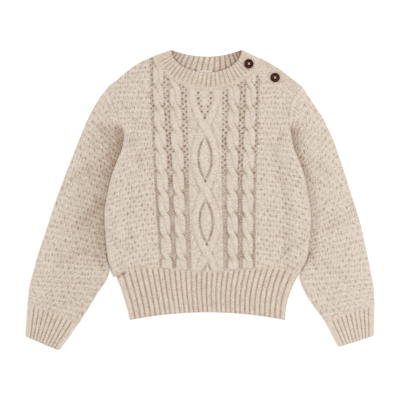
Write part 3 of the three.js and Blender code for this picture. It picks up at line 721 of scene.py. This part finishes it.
class Sleeve:
    """A sleeve's plan: t runs from the armhole to the cuff, f from the outer fold to the inner."""

    def __init__(self, folds, edge, side):
        self.outer, self.inner = fold_curve(folds["outer"]), fold_curve(folds["inner"])
        self.head, self.underarm = np.array(folds["outer"][0]), np.array(folds["inner"][0])
        self.edge, self.side = edge, side
        steps = np.linspace(0, 1, 401)
        middle = (self.outer(steps) + self.inner(steps)) / 2
        lengths = np.hypot(*np.diff(middle, axis=0).T)
        self.steps, self.run = steps, np.concatenate([[0], np.cumsum(lengths)])

    def place(self, t, f):
        straight = mix(self.outer(t), self.inner(t), f[..., None])
        line = mix(self.head, self.underarm, f[..., None])
        bend = self.edge(line[..., 1]) + self.side * SEAM_CLEAR - line[..., 0]
        share = np.clip(1 - t / ARMHOLE_FADE, 0, 1) ** 2
        share = share * smooth(from_ends(f) / 0.06)
        return straight[..., 0] + bend * share, straight[..., 1]

    def width(self, t):
        a, b = self.outer(t), self.inner(t)
        return np.hypot(a[..., 0] - b[..., 0], a[..., 1] - b[..., 1])

    def along(self, t):
        return np.interp(t, self.steps, self.run)


right_sleeve, left_sleeve = Sleeve(RIGHT_SLEEVE, left_edge, -1), Sleeve(LEFT_SLEEVE, right_edge, 1)
print("sleeve lengths:", round(right_sleeve.run[-1]), "and", round(left_sleeve.run[-1]), "mm")

# %% Knit the sleeves
# cells across the top, round each fold and on each half of the underside
SLEEVE_RING = (96, 8, 8)
SLEEVE_ROWS = 330
# height of the sleeve's swell, and height and reach of the swell beside the body
SWELL, SIDE_SWELL, SIDE_REACH = 2.4, 2.2, 22
# two widths of painted shade beside the body with how dark they are, then painted shade over the whole
# sleeve
SLEEVE_PAINTED_SHADE = {-1: (17.0, 0.34, 46.0, 0.19, 0.15), 1: (14.0, 0.42, 20.0, 0.07, 0.08)}
# both ends' x and y, half width, depth
SLEEVE_CREASES = [
    (-190, -40, -164, -8, 18, 1.2), (-226, -100, -186, -80, 10, 1.0), (-168, -92, -152, -112, 8, 1.0),
    (-204, 34, -178, 52, 11, 0.9), (-158, 118, -140, 84, 9, 0.8),
    (206, -42, 243, -19, 17, 0.8), (195, -99, 233, -128, 10, 0.9), (180, 60, 206, 44, 11, 0.8),
    (176, -84, 186, -108, 8, 0.9),
]


def sleeve_relief(sleeve, seed):
    near, near_dark, far, far_dark, side_shade = SLEEVE_PAINTED_SHADE[sleeve.side]

    def relief(t, s, theta, x, y, across):
        along = sleeve.along(t)
        bumps, pits = moss(across, along, seed, 0.55)
        clear = (sleeve.edge(y) - x) * -sleeve.side
        shoulder = smooth((y - 100) / 12)
        free = np.maximum(smooth((clear + 3) / 2.5), shoulder)
        seam = smooth(along / 7)
        ends = seam * smooth((1 - t) * 60)
        top = np.clip(np.sin(theta), 0, 1)
        puff = SWELL * np.sin(math.pi * np.clip(s, 0, 1)) ** 0.9 * top
        puff = puff + SIDE_SWELL * np.exp(-((clear / SIDE_REACH) ** 2)) * top * (1 - shoulder)
        folds = creases(x, y, SLEEVE_CREASES) * top
        rise = free * (ends * bumps + puff * smooth(t * 6) * smooth((1 - t) * 9) - folds)
        away = np.clip(clear, 0, None)
        # painted shade on the sleeve beside the body's edge, which stands over it
        beside = near_dark * np.exp(-((away / near) ** 2)) * (0.5 + 0.5 * smooth((y - 10) / 50))
        beside = beside + far_dark * np.exp(-((away / far) ** 2))
        beside = beside * smooth((126 - y) / 16) * smooth((y + 118) / 40)
        line = 0.3 * np.exp(-((along / 1.6) ** 2)) * top
        # painted shade over the whole sleeve, lighter near its outer fold, then in the moss pits and
        # creases; the line is the dark armhole seam
        base = side_shade * (0.35 + 0.65 * smooth(s / 0.4))
        return rise, base + 0.85 * pits * seam + beside + line + 0.1 * folds, 0

    return relief


sleeve_right = knit_tube("sleeve_right_knit", SLEEVE_RING, SLEEVE_ROWS, 40, right_sleeve.place,
                         right_sleeve.width, sleeve_relief(right_sleeve, 21), right_sleeve.along)
sleeve_left = knit_tube("sleeve_left_knit", SLEEVE_RING, SLEEVE_ROWS, 40, left_sleeve.place,
                        left_sleeve.width, sleeve_relief(left_sleeve, 31), left_sleeve.along)

# %% [markdown]
# ## Cuffs, hem and neckband
# Ribbing draws the cloth in: it is knitted narrower than the sleeve or body and stands in even
# ridges along the length. The cuffs are short tubes, and the hem is a front and a back panel. The
# neckband is curved, so its ribs fan out, and its back half shows its inside through the neck.

# %% Knit the cuffs
CUFF_RIBS, CUFF_LENGTH = 10, 52


class Cuff:
    """A cuff's plan: t runs from the sleeve to the open end, f from the outer fold to the inner."""

    def __init__(self, folds):
        self.top = [np.array(folds["outer"][-1]), np.array(folds["inner"][-1])]
        self.end = [np.array(p, float) for p in folds["cuff"]]
        self.length = np.hypot(*(self.top[0] - self.end[0]))

    def fold(self, k, t):
        return mix(self.top[k], self.end[k], np.asarray(t)[..., None])

    def place(self, t, f):
        point = mix(self.fold(0, t), self.fold(1, t), f[..., None])
        return point[..., 0], point[..., 1]

    def width(self, t):
        a, b = self.fold(0, t), self.fold(1, t)
        return np.hypot(a[..., 0] - b[..., 0], a[..., 1] - b[..., 1])

    def along(self, t):
        return t * self.length


def cuff_relief(t, s, theta, x, y, across):
    height, groove = ribbing(np.clip(s, 0, 1), CUFF_RIBS)
    upper = np.clip(np.sin(theta), 0, 1) * smooth(from_ends(s) * CUFF_RIBS * 2.5)
    upper = upper * smooth(t * 14 + 0.3 * wander(across, 0 * across, 3, 51))
    lips = edge_fall((1 - t) * CUFF_LENGTH)
    # painted shade: the cuff on the left of the picture is darker, and so are the rib grooves
    side_shade = np.where(x > 0, 0.0, 0.08)
    return height * upper * (1 - 0.5 * lips) - 0.9 * lips, side_shade + 0.9 * groove * upper, 1


cuff_right, cuff_left = (
    knit_tube(name, (90, 6, 6), 40, 4, cuff.place, cuff.width, cuff_relief, cuff.along)
    for name, cuff in (("cuff_right_knit", Cuff(RIGHT_SLEEVE)), ("cuff_left_knit", Cuff(LEFT_SLEEVE)))
)

# %% Knit the hem
HEM_CHART_HALF, HEM_HEIGHT = 123, 68


def hem_pattern(u, v):
    across = 2 * u - 1
    half = mix(HEM_BOTTOM_HALF, HEM_TOP_HALF, v ** HEM_FLARE)
    x = HEM_X + hem_shift(v) + across * half
    y = mix(hem_bottom(across), hem_top(across) - HEM_CLEAR, v)
    return x, y, across * HEM_CHART_HALF, v * HEM_HEIGHT


def hem_sides(u):
    return edge_fall(from_ends(u) * 2 * HEM_BOTTOM_HALF)


def hem_face(x, y, u, v, across, along):
    height, groove = ribbing(u - 0.01 * np.sin(TURN * u), HEM_RIBS)
    start = smooth((1 - v) * 17 + 0.3 * wander(across, 0 * across, 3, 52))
    lips = np.maximum(hem_sides(u), 0.6 * edge_fall(v * HEM_HEIGHT))
    start = start * smooth(from_ends(u) * HEM_RIBS * 2.5)
    folds = creases(x, y, BODY_CREASES)
    z = STACK + height * start * (1 - lips) - EDGE_DROP * lips - folds
    # painted shade in the rib grooves and the creases
    return z, 0.08 + groove * start + 0.2 * folds, 1


hem_front = knit_panel("hem_rib_front_knit", (280, 44), (56, 10), hem_pattern, hem_face,
                       lambda x, y, u, v: UPPER_Z - EDGE_SINK * hem_sides(u))
hem_back = knit_panel("hem_rib_back_knit", (112, 16), (56, 8), hem_pattern,
                      lambda x, y, u, v, a, b: (WALL + 0 * x, np.full(x.shape, COVERED_SHADE), 1),
                      lambda x, y, u, v: 0 * x)

# %% Knit the neckband
NECK_LENGTH, NECK_WIDTH = 170, 29
front_inner = NeckEdge(FRONT_NECK["inner"], NECK_ENDS["inner"])


def neck_pattern(depths):
    outer = NeckEdge(depths["outer"], NECK_ENDS["outer"])
    inner = NeckEdge(depths["inner"], NECK_ENDS["inner"], depths["bend"])

    def pattern(u, v):
        (ox, oy), (ix, iy) = outer.at(u), inner.at(u)
        return mix(ox, ix, v), mix(oy, iy, v), u * NECK_LENGTH, v * NECK_WIDTH

    return pattern


def neck_ends(u):
    return edge_fall(from_ends(u) * 100)


def neck_front_face(x, y, u, v, across, along):
    height, groove = ribbing(u, FRONT_NECK["ribs"])
    strength = smooth((1.0 - u) / 0.16) * smooth(along / 9) * smooth(u * 14)
    lips = np.maximum(neck_ends(u), 0.6 * edge_fall(NECK_WIDTH - along))
    z = UPPER_Z + WALL + 0.8 * height * strength * (1 - lips) - EDGE_DROP * lips
    # painted shade in the rib grooves
    return z, 0.12 + 0.75 * groove * strength, 1


def neck_back_face(x, y, u, v, across, along):
    """The inside of the back neckband lies in the shade of the front one, most at both ends."""
    height, groove = ribbing(u, BACK_NECK["ribs"])
    above = y - front_inner.y_at(x, 0)
    # painted shade towards both ends, in the rib grooves and along the front band's inner edge
    shade = 0.62 * np.exp(-((u / 0.2) ** 2)) + 0.76 * np.exp(-(((1 - u) / 0.26) ** 2))
    return WALL + height, 0.1 + groove + shade + 0.45 * np.exp(-((above / 2.2) ** 2)), 1


neck_front = knit_panel(
    "neckband_front_knit", (200, 26), (60, 6), neck_pattern(FRONT_NECK), neck_front_face,
    lambda x, y, u, v: UPPER_Z - EDGE_SINK * neck_ends(u))
neck_back = knit_panel(
    "neckband_back_knit", (200, 26), (60, 6), neck_pattern(BACK_NECK), neck_back_face,
    lambda x, y, u, v: 0 * x)

# %% [markdown]
# ## The buttoned shoulder
# The wearer's left shoulder opens, so that the head goes through. A plain band on the front laps
# over one on the back, and two buttons hold it. The bands are ruled between the neckline and the
# armhole, and their fold bows out a little.

# %% Knit the shoulder bands
BAND_LENGTH, BAND_WIDTH = 70, 20


def band_pattern(neckline, overhang):
    low, high = 0.5, 1.0
    for _ in range(30):
        s = (low + high) / 2
        x, y = neckline.at(s)
        low, high = (s, high) if y < band_line(x) else (low, s)
    start_share = low
    shoulder = BAND_SHOULDER_END - np.array(NECK_ENDS["outer"][1])
    shoulder = shoulder / np.hypot(*shoulder)

    def pattern(u, v):
        neck_x, neck_y = neckline.at(mix(start_share, 1, v))
        arm = mix(BAND_ARM_END, BAND_SHOULDER_END, np.asarray(v)[..., None])
        x, y = mix(neck_x, arm[..., 0], u), mix(neck_y, arm[..., 1], u)
        bow = (BAND_BOW * np.sin(math.pi * u) + overhang * smooth((0.7 - u) / 0.2)) * v
        return x - shoulder[1] * bow, y + shoulder[0] * bow, u * BAND_LENGTH, v * BAND_WIDTH

    return pattern


def band_face(base):
    def face(x, y, u, v, across, along):
        lips = edge_fall(BAND_WIDTH - along) if base else 0 * x
        bumps, pits = moss(across, along, 61, 0.6)
        calm = smooth(along / 3) * smooth(from_ends(u) * 14)
        # painted shade in the moss pits
        return base + WALL + 0.5 * bumps * calm - EDGE_DROP * lips, 0.1 + 0.4 * pits * calm, 1

    return face


band_front = knit_panel("shoulder_band_front_knit", (70, 24), (12, 5),
                        band_pattern(front_neckline, 0), band_face(UPPER_Z),
                        lambda x, y, u, v: UPPER_Z - EDGE_SINK * edge_fall((1 - v) * BAND_WIDTH))
band_back = knit_panel("shoulder_band_back_knit", (70, 24), (12, 5),
                       band_pattern(back_neckline, UNDERLAP), band_face(0),
                       lambda x, y, u, v: 0 * x)

# %% Turn the buttons
BUTTON_SEAT = STACK + 0.3
BUTTONS = {"neck": (78.0, 217.4), "shoulder": (119.8, 195.4)}
# distance from the middle, height
BUTTON_PROFILE = [(0, 0), (5.6, 0), (6.7, 0.4), (7.35, 1.1), (7.5, 1.8), (7.2, 2.55), (6.5, 2.95),
                  (5.8, 2.9), (5.2, 2.4), (4.6, 2.0), (3.6, 1.9), (0, 1.9)]
HOLE_CIRCLE, HOLE_RADIUS = 1.7, 0.62


def turned_button():
    """A dished button, spun from half its outline."""
    bm = bmesh.new()
    rim = [bm.verts.new((r * MM, 0, z * MM)) for r, z in BUTTON_PROFILE]
    edges = [bm.edges.new(pair) for pair in zip(rim, rim[1:])]
    bmesh.ops.spin(bm, geom=rim + edges, cent=(0, 0, 0), axis=(0, 0, 1), angle=TURN, steps=48,
                   use_merge=True)
    bmesh.ops.remove_doubles(bm, verts=bm.verts, dist=0.000001)
    bmesh.ops.recalc_face_normals(bm, faces=bm.faces)
    return bm


def solid_object(name, bm):
    mesh = bpy.data.meshes.new(name)
    bm.to_mesh(mesh)
    bm.free()
    return add_object(name, mesh)


def pierced_button(name, at):
    button = solid_object(name, turned_button())
    bm = bmesh.new()
    for k in range(4):
        pin = bmesh.ops.create_cone(bm, cap_ends=True, segments=16, depth=0.01,
                                    radius1=HOLE_RADIUS * MM, radius2=HOLE_RADIUS * MM)
        turn = math.pi * (2 * k + 1) / 4
        across = HOLE_CIRCLE * MM
        bmesh.ops.translate(bm, verts=pin["verts"],
                            vec=(across * math.cos(turn), across * math.sin(turn), 0))
    pins = solid_object(name + "_pins", bm)
    cut = button.modifiers.new("holes", "BOOLEAN")
    cut.operation, cut.object, cut.solver = "DIFFERENCE", pins, "EXACT"
    bpy.context.view_layer.update()
    pierced = bpy.data.meshes.new_from_object(button.evaluated_get(
        bpy.context.evaluated_depsgraph_get()))
    button.modifiers.clear()
    button.data = pierced
    bpy.data.objects.remove(pins)
    for v in pierced.vertices:
        v.co.x, v.co.y, v.co.z = v.co.x + at[0] * MM, v.co.y + at[1] * MM, v.co.z + BUTTON_SEAT * MM
    pierced.shade_smooth()
    return button


buttons = {k: pierced_button(f"button_{k}_turned", at) for k, at in BUTTONS.items()}
print("buttons turned:", list(buttons))

# %% [markdown]
# The buttons are sewn on with cream yarn that crosses through the four holes. Two short strands
# laid over each other in the dish are enough, each a thin tube pulled out from a ring in short steps.

# %% Sew the buttons on
def ring_edges(ring):
    return list({e for v in ring for e in v.link_edges if all(w in ring for w in e.verts)})


def sewing(name, at):
    bm = bmesh.new()
    for turn in (math.pi / 4, -math.pi / 4):
        ring = bmesh.ops.create_circle(bm, segments=10, radius=0.55 * MM)["verts"]
        bmesh.ops.rotate(bm, verts=ring, cent=(0, 0, 0),
                         matrix=Matrix.Rotation(math.pi / 2, 3, "Y"))
        bmesh.ops.translate(bm, verts=ring, vec=(-2.1 * MM, 0, 1.4 * MM))
        strand_verts = list(ring)
        bmesh.ops.contextual_create(bm, geom=ring_edges(ring))
        for dx, dz in ((0.6, 0.7), (0.8, 0.25), (1.4, 0), (0.8, -0.25), (0.6, -0.7)):
            made = bmesh.ops.extrude_edge_only(bm, edges=ring_edges(ring))["geom"]
            ring = [v for v in made if isinstance(v, bmesh.types.BMVert)]
            bmesh.ops.translate(bm, verts=ring, vec=(dx * MM, 0, dz * MM))
            strand_verts += ring
        bmesh.ops.contextual_create(bm, geom=ring_edges(ring))
        bmesh.ops.rotate(bm, verts=strand_verts, cent=(0, 0, 0),
                         matrix=Matrix.Rotation(turn, 3, "Z"))
    bmesh.ops.recalc_face_normals(bm, faces=bm.faces)
    bmesh.ops.translate(bm, verts=bm.verts, vec=(at[0] * MM, at[1] * MM, BUTTON_SEAT * MM))
    yarn = solid_object(name, bm)
    yarn.data.shade_smooth()
    return yarn


stitches = {k: sewing(f"button_{k}_yarn", at) for k, at in BUTTONS.items()}
print("sewing yarn pieces:", len(stitches))

# %% The label
LABEL_X, LABEL_Y, LABEL_SIZE, LABEL_Z = 7.5, 200.0, (24, 15), WALL + 0.3
label_bm = bmesh.new()
bmesh.ops.create_grid(label_bm, x_segments=16, y_segments=10, size=0.5)
for v in label_bm.verts:
    v.co.x = (LABEL_X + v.co.x * LABEL_SIZE[0]) * MM
    v.co.y = (LABEL_Y + v.co.y * LABEL_SIZE[1]) * MM
    v.co.z = (LABEL_Z + 0.3) * MM
label = solid_object("neck_label_woven", label_bm)
wall = label.modifiers.new("cloth", "SOLIDIFY")
wall.thickness, wall.offset = 0.5 * MM, 0
print("label is blank,", LABEL_SIZE, "mm")

# %% [markdown]
# ## Materials
# Shader sums are easier to read as Python. A small class wraps an output socket, so that adding
# or multiplying it adds a Math node, and one method makes any other node.

# %% Sums on sockets
class Thread:
    """An output socket of a finish's nodes."""

    def __init__(self, finish, socket):
        self.finish, self.socket = finish, socket

    def sum(self, operation, *terms):
        return self.finish.node("ShaderNodeMath", {"operation": operation}, dict(enumerate(terms)))

    def of(self, operation):
        return self.sum(operation, self)

    def __add__(self, other): return self.sum("ADD", self, other)
    def __radd__(self, other): return self.sum("ADD", other, self)
    def __sub__(self, other): return self.sum("SUBTRACT", self, other)
    def __rsub__(self, other): return self.sum("SUBTRACT", other, self)
    def __mul__(self, other): return self.sum("MULTIPLY", self, other)
    def __rmul__(self, other): return self.sum("MULTIPLY", other, self)
    def __truediv__(self, other): return self.sum("DIVIDE", self, other)
    def __pow__(self, other): return self.sum("POWER", self, other)


class Finish:
    """A node material, with one method for every node but sums."""

    def __init__(self, name, **constants):
        self.material = bpy.data.materials.new(name)
        self.material.use_nodes = True
        self.tree = self.material.node_tree
        self.shader = self.tree.nodes["Principled BSDF"]
        for socket, value in constants.items():
            self.shader.inputs[socket.replace("_", " ")].default_value = value

    def feed(self, socket, value):
        if isinstance(value, Thread):
            self.tree.links.new(value.socket, socket)
        else:
            socket.default_value = value

    def node(self, kind, settings=None, sockets=None, output=0):
        made = self.tree.nodes.new(kind)
        for name, value in (settings or {}).items():
            setattr(made, name, value)
        for name, value in (sockets or {}).items():
            self.feed(made.inputs[name], value)
        return Thread(self, made.outputs[output])

    def blend(self, a, b, share):
        return self.node("ShaderNodeMix", {"data_type": "RGBA"}, {0: share, 6: a, 7: b}, 2)

    def noise(self, vector, size, detail=2.0):
        sockets = {"Vector": vector, "Scale": 1 / (size * MM), "Detail": detail}
        return self.node("ShaderNodeTexNoise", {}, sockets, "Fac")

    def place(self):
        return self.node("ShaderNodeTexCoord", output="Object")

    def put(self, socket, value):
        self.feed(self.shader.inputs[socket], value)

    def bump(self, strength, distance, height):
        sockets = {"Strength": strength, "Distance": distance * MM, "Height": height}
        self.put("Normal", self.node("ShaderNodeBump", {}, sockets))


def colour(red, green, blue):
    """A screen colour as the linear one that a shader takes."""
    return tuple(((c / 255 + 0.055) / 1.055) ** 2.4 for c in (red, green, blue)) + (1.0,)


# %% [markdown]
# Wool yarn is matt and a little fuzzy. Its colour wanders from fibre to fibre. Shade is also painted
# into its colour from the hollow attribute: in the hollows between stitches, in grooves and creases
# and beside the body, with painted shade and highlight on the back's moss bricks. A fine bump gives
# plies on moss stitch and small V stitches on plain knitting, which are below the size of the mesh.

# %% Wool
STITCH_WIDE, STITCH_HIGH = 3.3, 2.9


def wool(name, light, shade, relief=0.0):
    dye = Finish(name, Roughness=0.92, Sheen_Weight=0.25, Sheen_Roughness=0.5, Specular_IOR_Level=0.2)
    place = dye.place()
    knit = dye.node("ShaderNodeUVMap", {"uv_map": "knit"})
    hollow, plain = (dye.node("ShaderNodeAttribute", {"attribute_name": title}, output="Fac")
                     for title in ("hollow", "plain"))
    patches, yarn, fibre = dye.noise(place, 9.0), dye.noise(place, 2.2, 4.0), dye.noise(place, 0.5)
    u, v = (dye.node("ShaderNodeSeparateXYZ", {}, {0: knit}, axis) for axis in "XY")
    wale = (u / (STITCH_WIDE * MM)).of("FRACT")
    leg = (wale - 0.5).of("ABSOLUTE")
    loops = (v * (TURN / (STITCH_HIGH * MM)) + leg * 4.4).of("SINE")
    stitch = (0.5 + 0.5 * loops) * (1 - 3.2 * leg ** 2.0) * plain
    bricks = (u * (TURN / (MOSS_WIDE * MM))).of("COSINE")
    bricks = bricks * (v * (TURN / (MOSS_HIGH * MM))).of("COSINE")
    grain = 1.4 * (yarn - 0.5) + 0.35 * (fibre - 0.5) + 0.4 * (patches - 0.5)
    # painted shade from the hollow attribute and between plain stitches' legs, and painted shade and
    # highlight on moss bricks where relief is set
    tone = hollow + grain + 0.1 * (1 - stitch) * plain - relief * 0.3 * bricks
    tone = dye.node("ShaderNodeClamp", {}, {0: tone})
    dye.put("Base Color", dye.blend(light, shade, tone))
    dye.bump(0.6, 0.45, 0.6 * yarn + 0.35 * fibre + 0.8 * stitch + relief * 3.0 * bricks)
    return dye.material


body_wool = wool("oatmeal_wool", colour(222, 210, 195), colour(146, 120, 98))
back_wool = wool("oatmeal_wool_back", colour(222, 210, 195), colour(146, 120, 98), 1.0)
rib_wool = wool("oatmeal_rib", colour(223, 209, 193), colour(146, 118, 96))
print("wool finishes:", body_wool.name, back_wool.name, rib_wool.name)

# %% Horn, yarn and label
def horn(name):
    finish = Finish(name, Roughness=0.3, Specular_IOR_Level=0.12)
    streaks = finish.noise(finish.place(), 3.0, 4.0)
    finish.put("Base Color", finish.blend(colour(78, 32, 20), colour(38, 15, 10), streaks))
    return finish.material


def woven(name, light, shade, size):
    finish = Finish(name, Roughness=0.8, Sheen_Weight=0.2)
    threads = finish.node("ShaderNodeTexWave", {"wave_type": "BANDS", "bands_direction": "X"},
                          {"Vector": finish.place(), "Scale": 1 / (size * MM), "Distortion": 1.0}, "Fac")
    finish.put("Base Color", finish.blend(light, shade, threads))
    finish.bump(0.4, 0.1, threads)
    return finish.material


button_horn = horn("horn_brown")
sewing_yarn = woven("cream_yarn", colour(242, 228, 206), colour(214, 192, 162), 0.4)
label_satin = woven("label_satin", colour(230, 225, 216), colour(214, 207, 196), 0.5)

# %% [markdown]
# ## Dressing the frame
# Each fine piece now takes its finish, rides on the sweater's one body and stands for its solid.
# The table also gives the size each cloth piece was cut to before it was laid down, all round on a tube.

# %% Dress each piece
# piece, node, slot, finish, flat width and length, cut area, what it rests on
CLOTH = [
    (back, "back", "wool", back_wool, (0.332, 0.335), 0.098, ["floor"]),
    (front, "front", "wool", body_wool, (0.332, 0.303), 0.094, ["back"]),
    (sleeve_right, "sleeve_right", "wool", body_wool, (0.25, 0.345), 0.07, ["floor"]),
    (sleeve_left, "sleeve_left", "wool", body_wool, (0.25, 0.345), 0.07, ["floor"]),
    (cuff_right, "cuff_right", "rib", rib_wool, (0.155, 0.054), 0.0078, ["floor"]),
    (cuff_left, "cuff_left", "rib", rib_wool, (0.155, 0.054), 0.0078, ["floor"]),
    (hem_back, "hem_rib_back", "rib", rib_wool, (0.29, 0.075), 0.0185, ["floor"]),
    (hem_front, "hem_rib_front", "rib", rib_wool, (0.29, 0.075), 0.0185, ["hem_rib_back"]),
    (neck_back, "neckband_back", "rib", rib_wool, (0.18, 0.03), None, ["floor"]),
    (neck_front, "neckband_front", "rib", rib_wool, (0.21, 0.03), None, ["neckband_back"]),
    (band_back, "shoulder_band_back", "rib", rib_wool, (0.08, 0.025), None, ["floor"]),
    (band_front, "shoulder_band_front", "rib", rib_wool, (0.072, 0.022), None,
     ["shoulder_band_back"]),
    (label, "neck_label", "label", label_satin, (0.024, 0.015), None, ["back"]),
]
for piece, node, slot, finish, flat, area, rests_on in CLOTH:
    piece.data.materials.append(finish)
    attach(piece, "root")
    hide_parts(node)
for key, button in buttons.items():
    button.data.materials.append(button_horn)
    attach(button, "root")
    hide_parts("button_" + key)
    yarn = stitches[key]
    yarn.data.materials.append(sewing_yarn)
    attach(yarn, "root")
print("cloth pieces:", len(CLOTH), "and buttons:", len(buttons))

# %% [markdown]
# ## Floor, light and camera
# The photograph is a cut-out on white, so the floor is nearly white and the light is broad and
# soft, with a little more from the right to model the stitches. The camera looks straight
# down from far away with a long lens, so that the sweater keeps its outline.

# %% Floor and light
floor_bm = bmesh.new()
bmesh.ops.create_grid(floor_bm, x_segments=4, y_segments=4, size=3)
bmesh.ops.translate(floor_bm, verts=floor_bm.verts, vec=(0, 0, -0.0004))
floor = solid_object("floor", floor_bm)
paper = Finish("white_paper", Roughness=0.9, Emission_Color=(1, 1, 1, 1), Emission_Strength=0.2)
paper_grain = paper.noise(paper.place(), 4.0)
paper.put("Base Color", paper.blend((0.93, 0.93, 0.93, 1), (0.95, 0.95, 0.95, 1), paper_grain))
floor.data.materials.append(paper.material)

world = bpy.data.worlds.new("studio")
bpy.context.scene.world = world
world.use_nodes = True
world.node_tree.nodes["Background"].inputs["Color"].default_value = (1, 1, 1, 1)
world.node_tree.nodes["Background"].inputs["Strength"].default_value = 0.9

lamp = bpy.data.lights.new("softbox", "AREA")
lamp.shape, lamp.size, lamp.energy = "DISK", 0.9, 10.6
softbox = add_object("softbox", lamp)
softbox.location = (0.9, 0.2, 2.1)
softbox.rotation_euler = (-softbox.location).to_track_quat("-Z", "Y").to_euler()
print("studio: white world and one softbox")

# %% Camera
VIEW_WIDTH, LENS, SENSOR = 0.64, 100.0, 36.0
camera_data = bpy.data.cameras.new("camera")
camera_data.lens, camera_data.sensor_width = LENS, SENSOR
camera = add_object("camera", camera_data)
camera.location = (0, 0, VIEW_WIDTH * LENS / SENSOR + MIDDLE_Z * MM)
bpy.context.scene.camera = camera
bpy.context.scene.view_settings.view_transform = "Standard"
print("camera height:", round(camera.location.z, 3), "m")
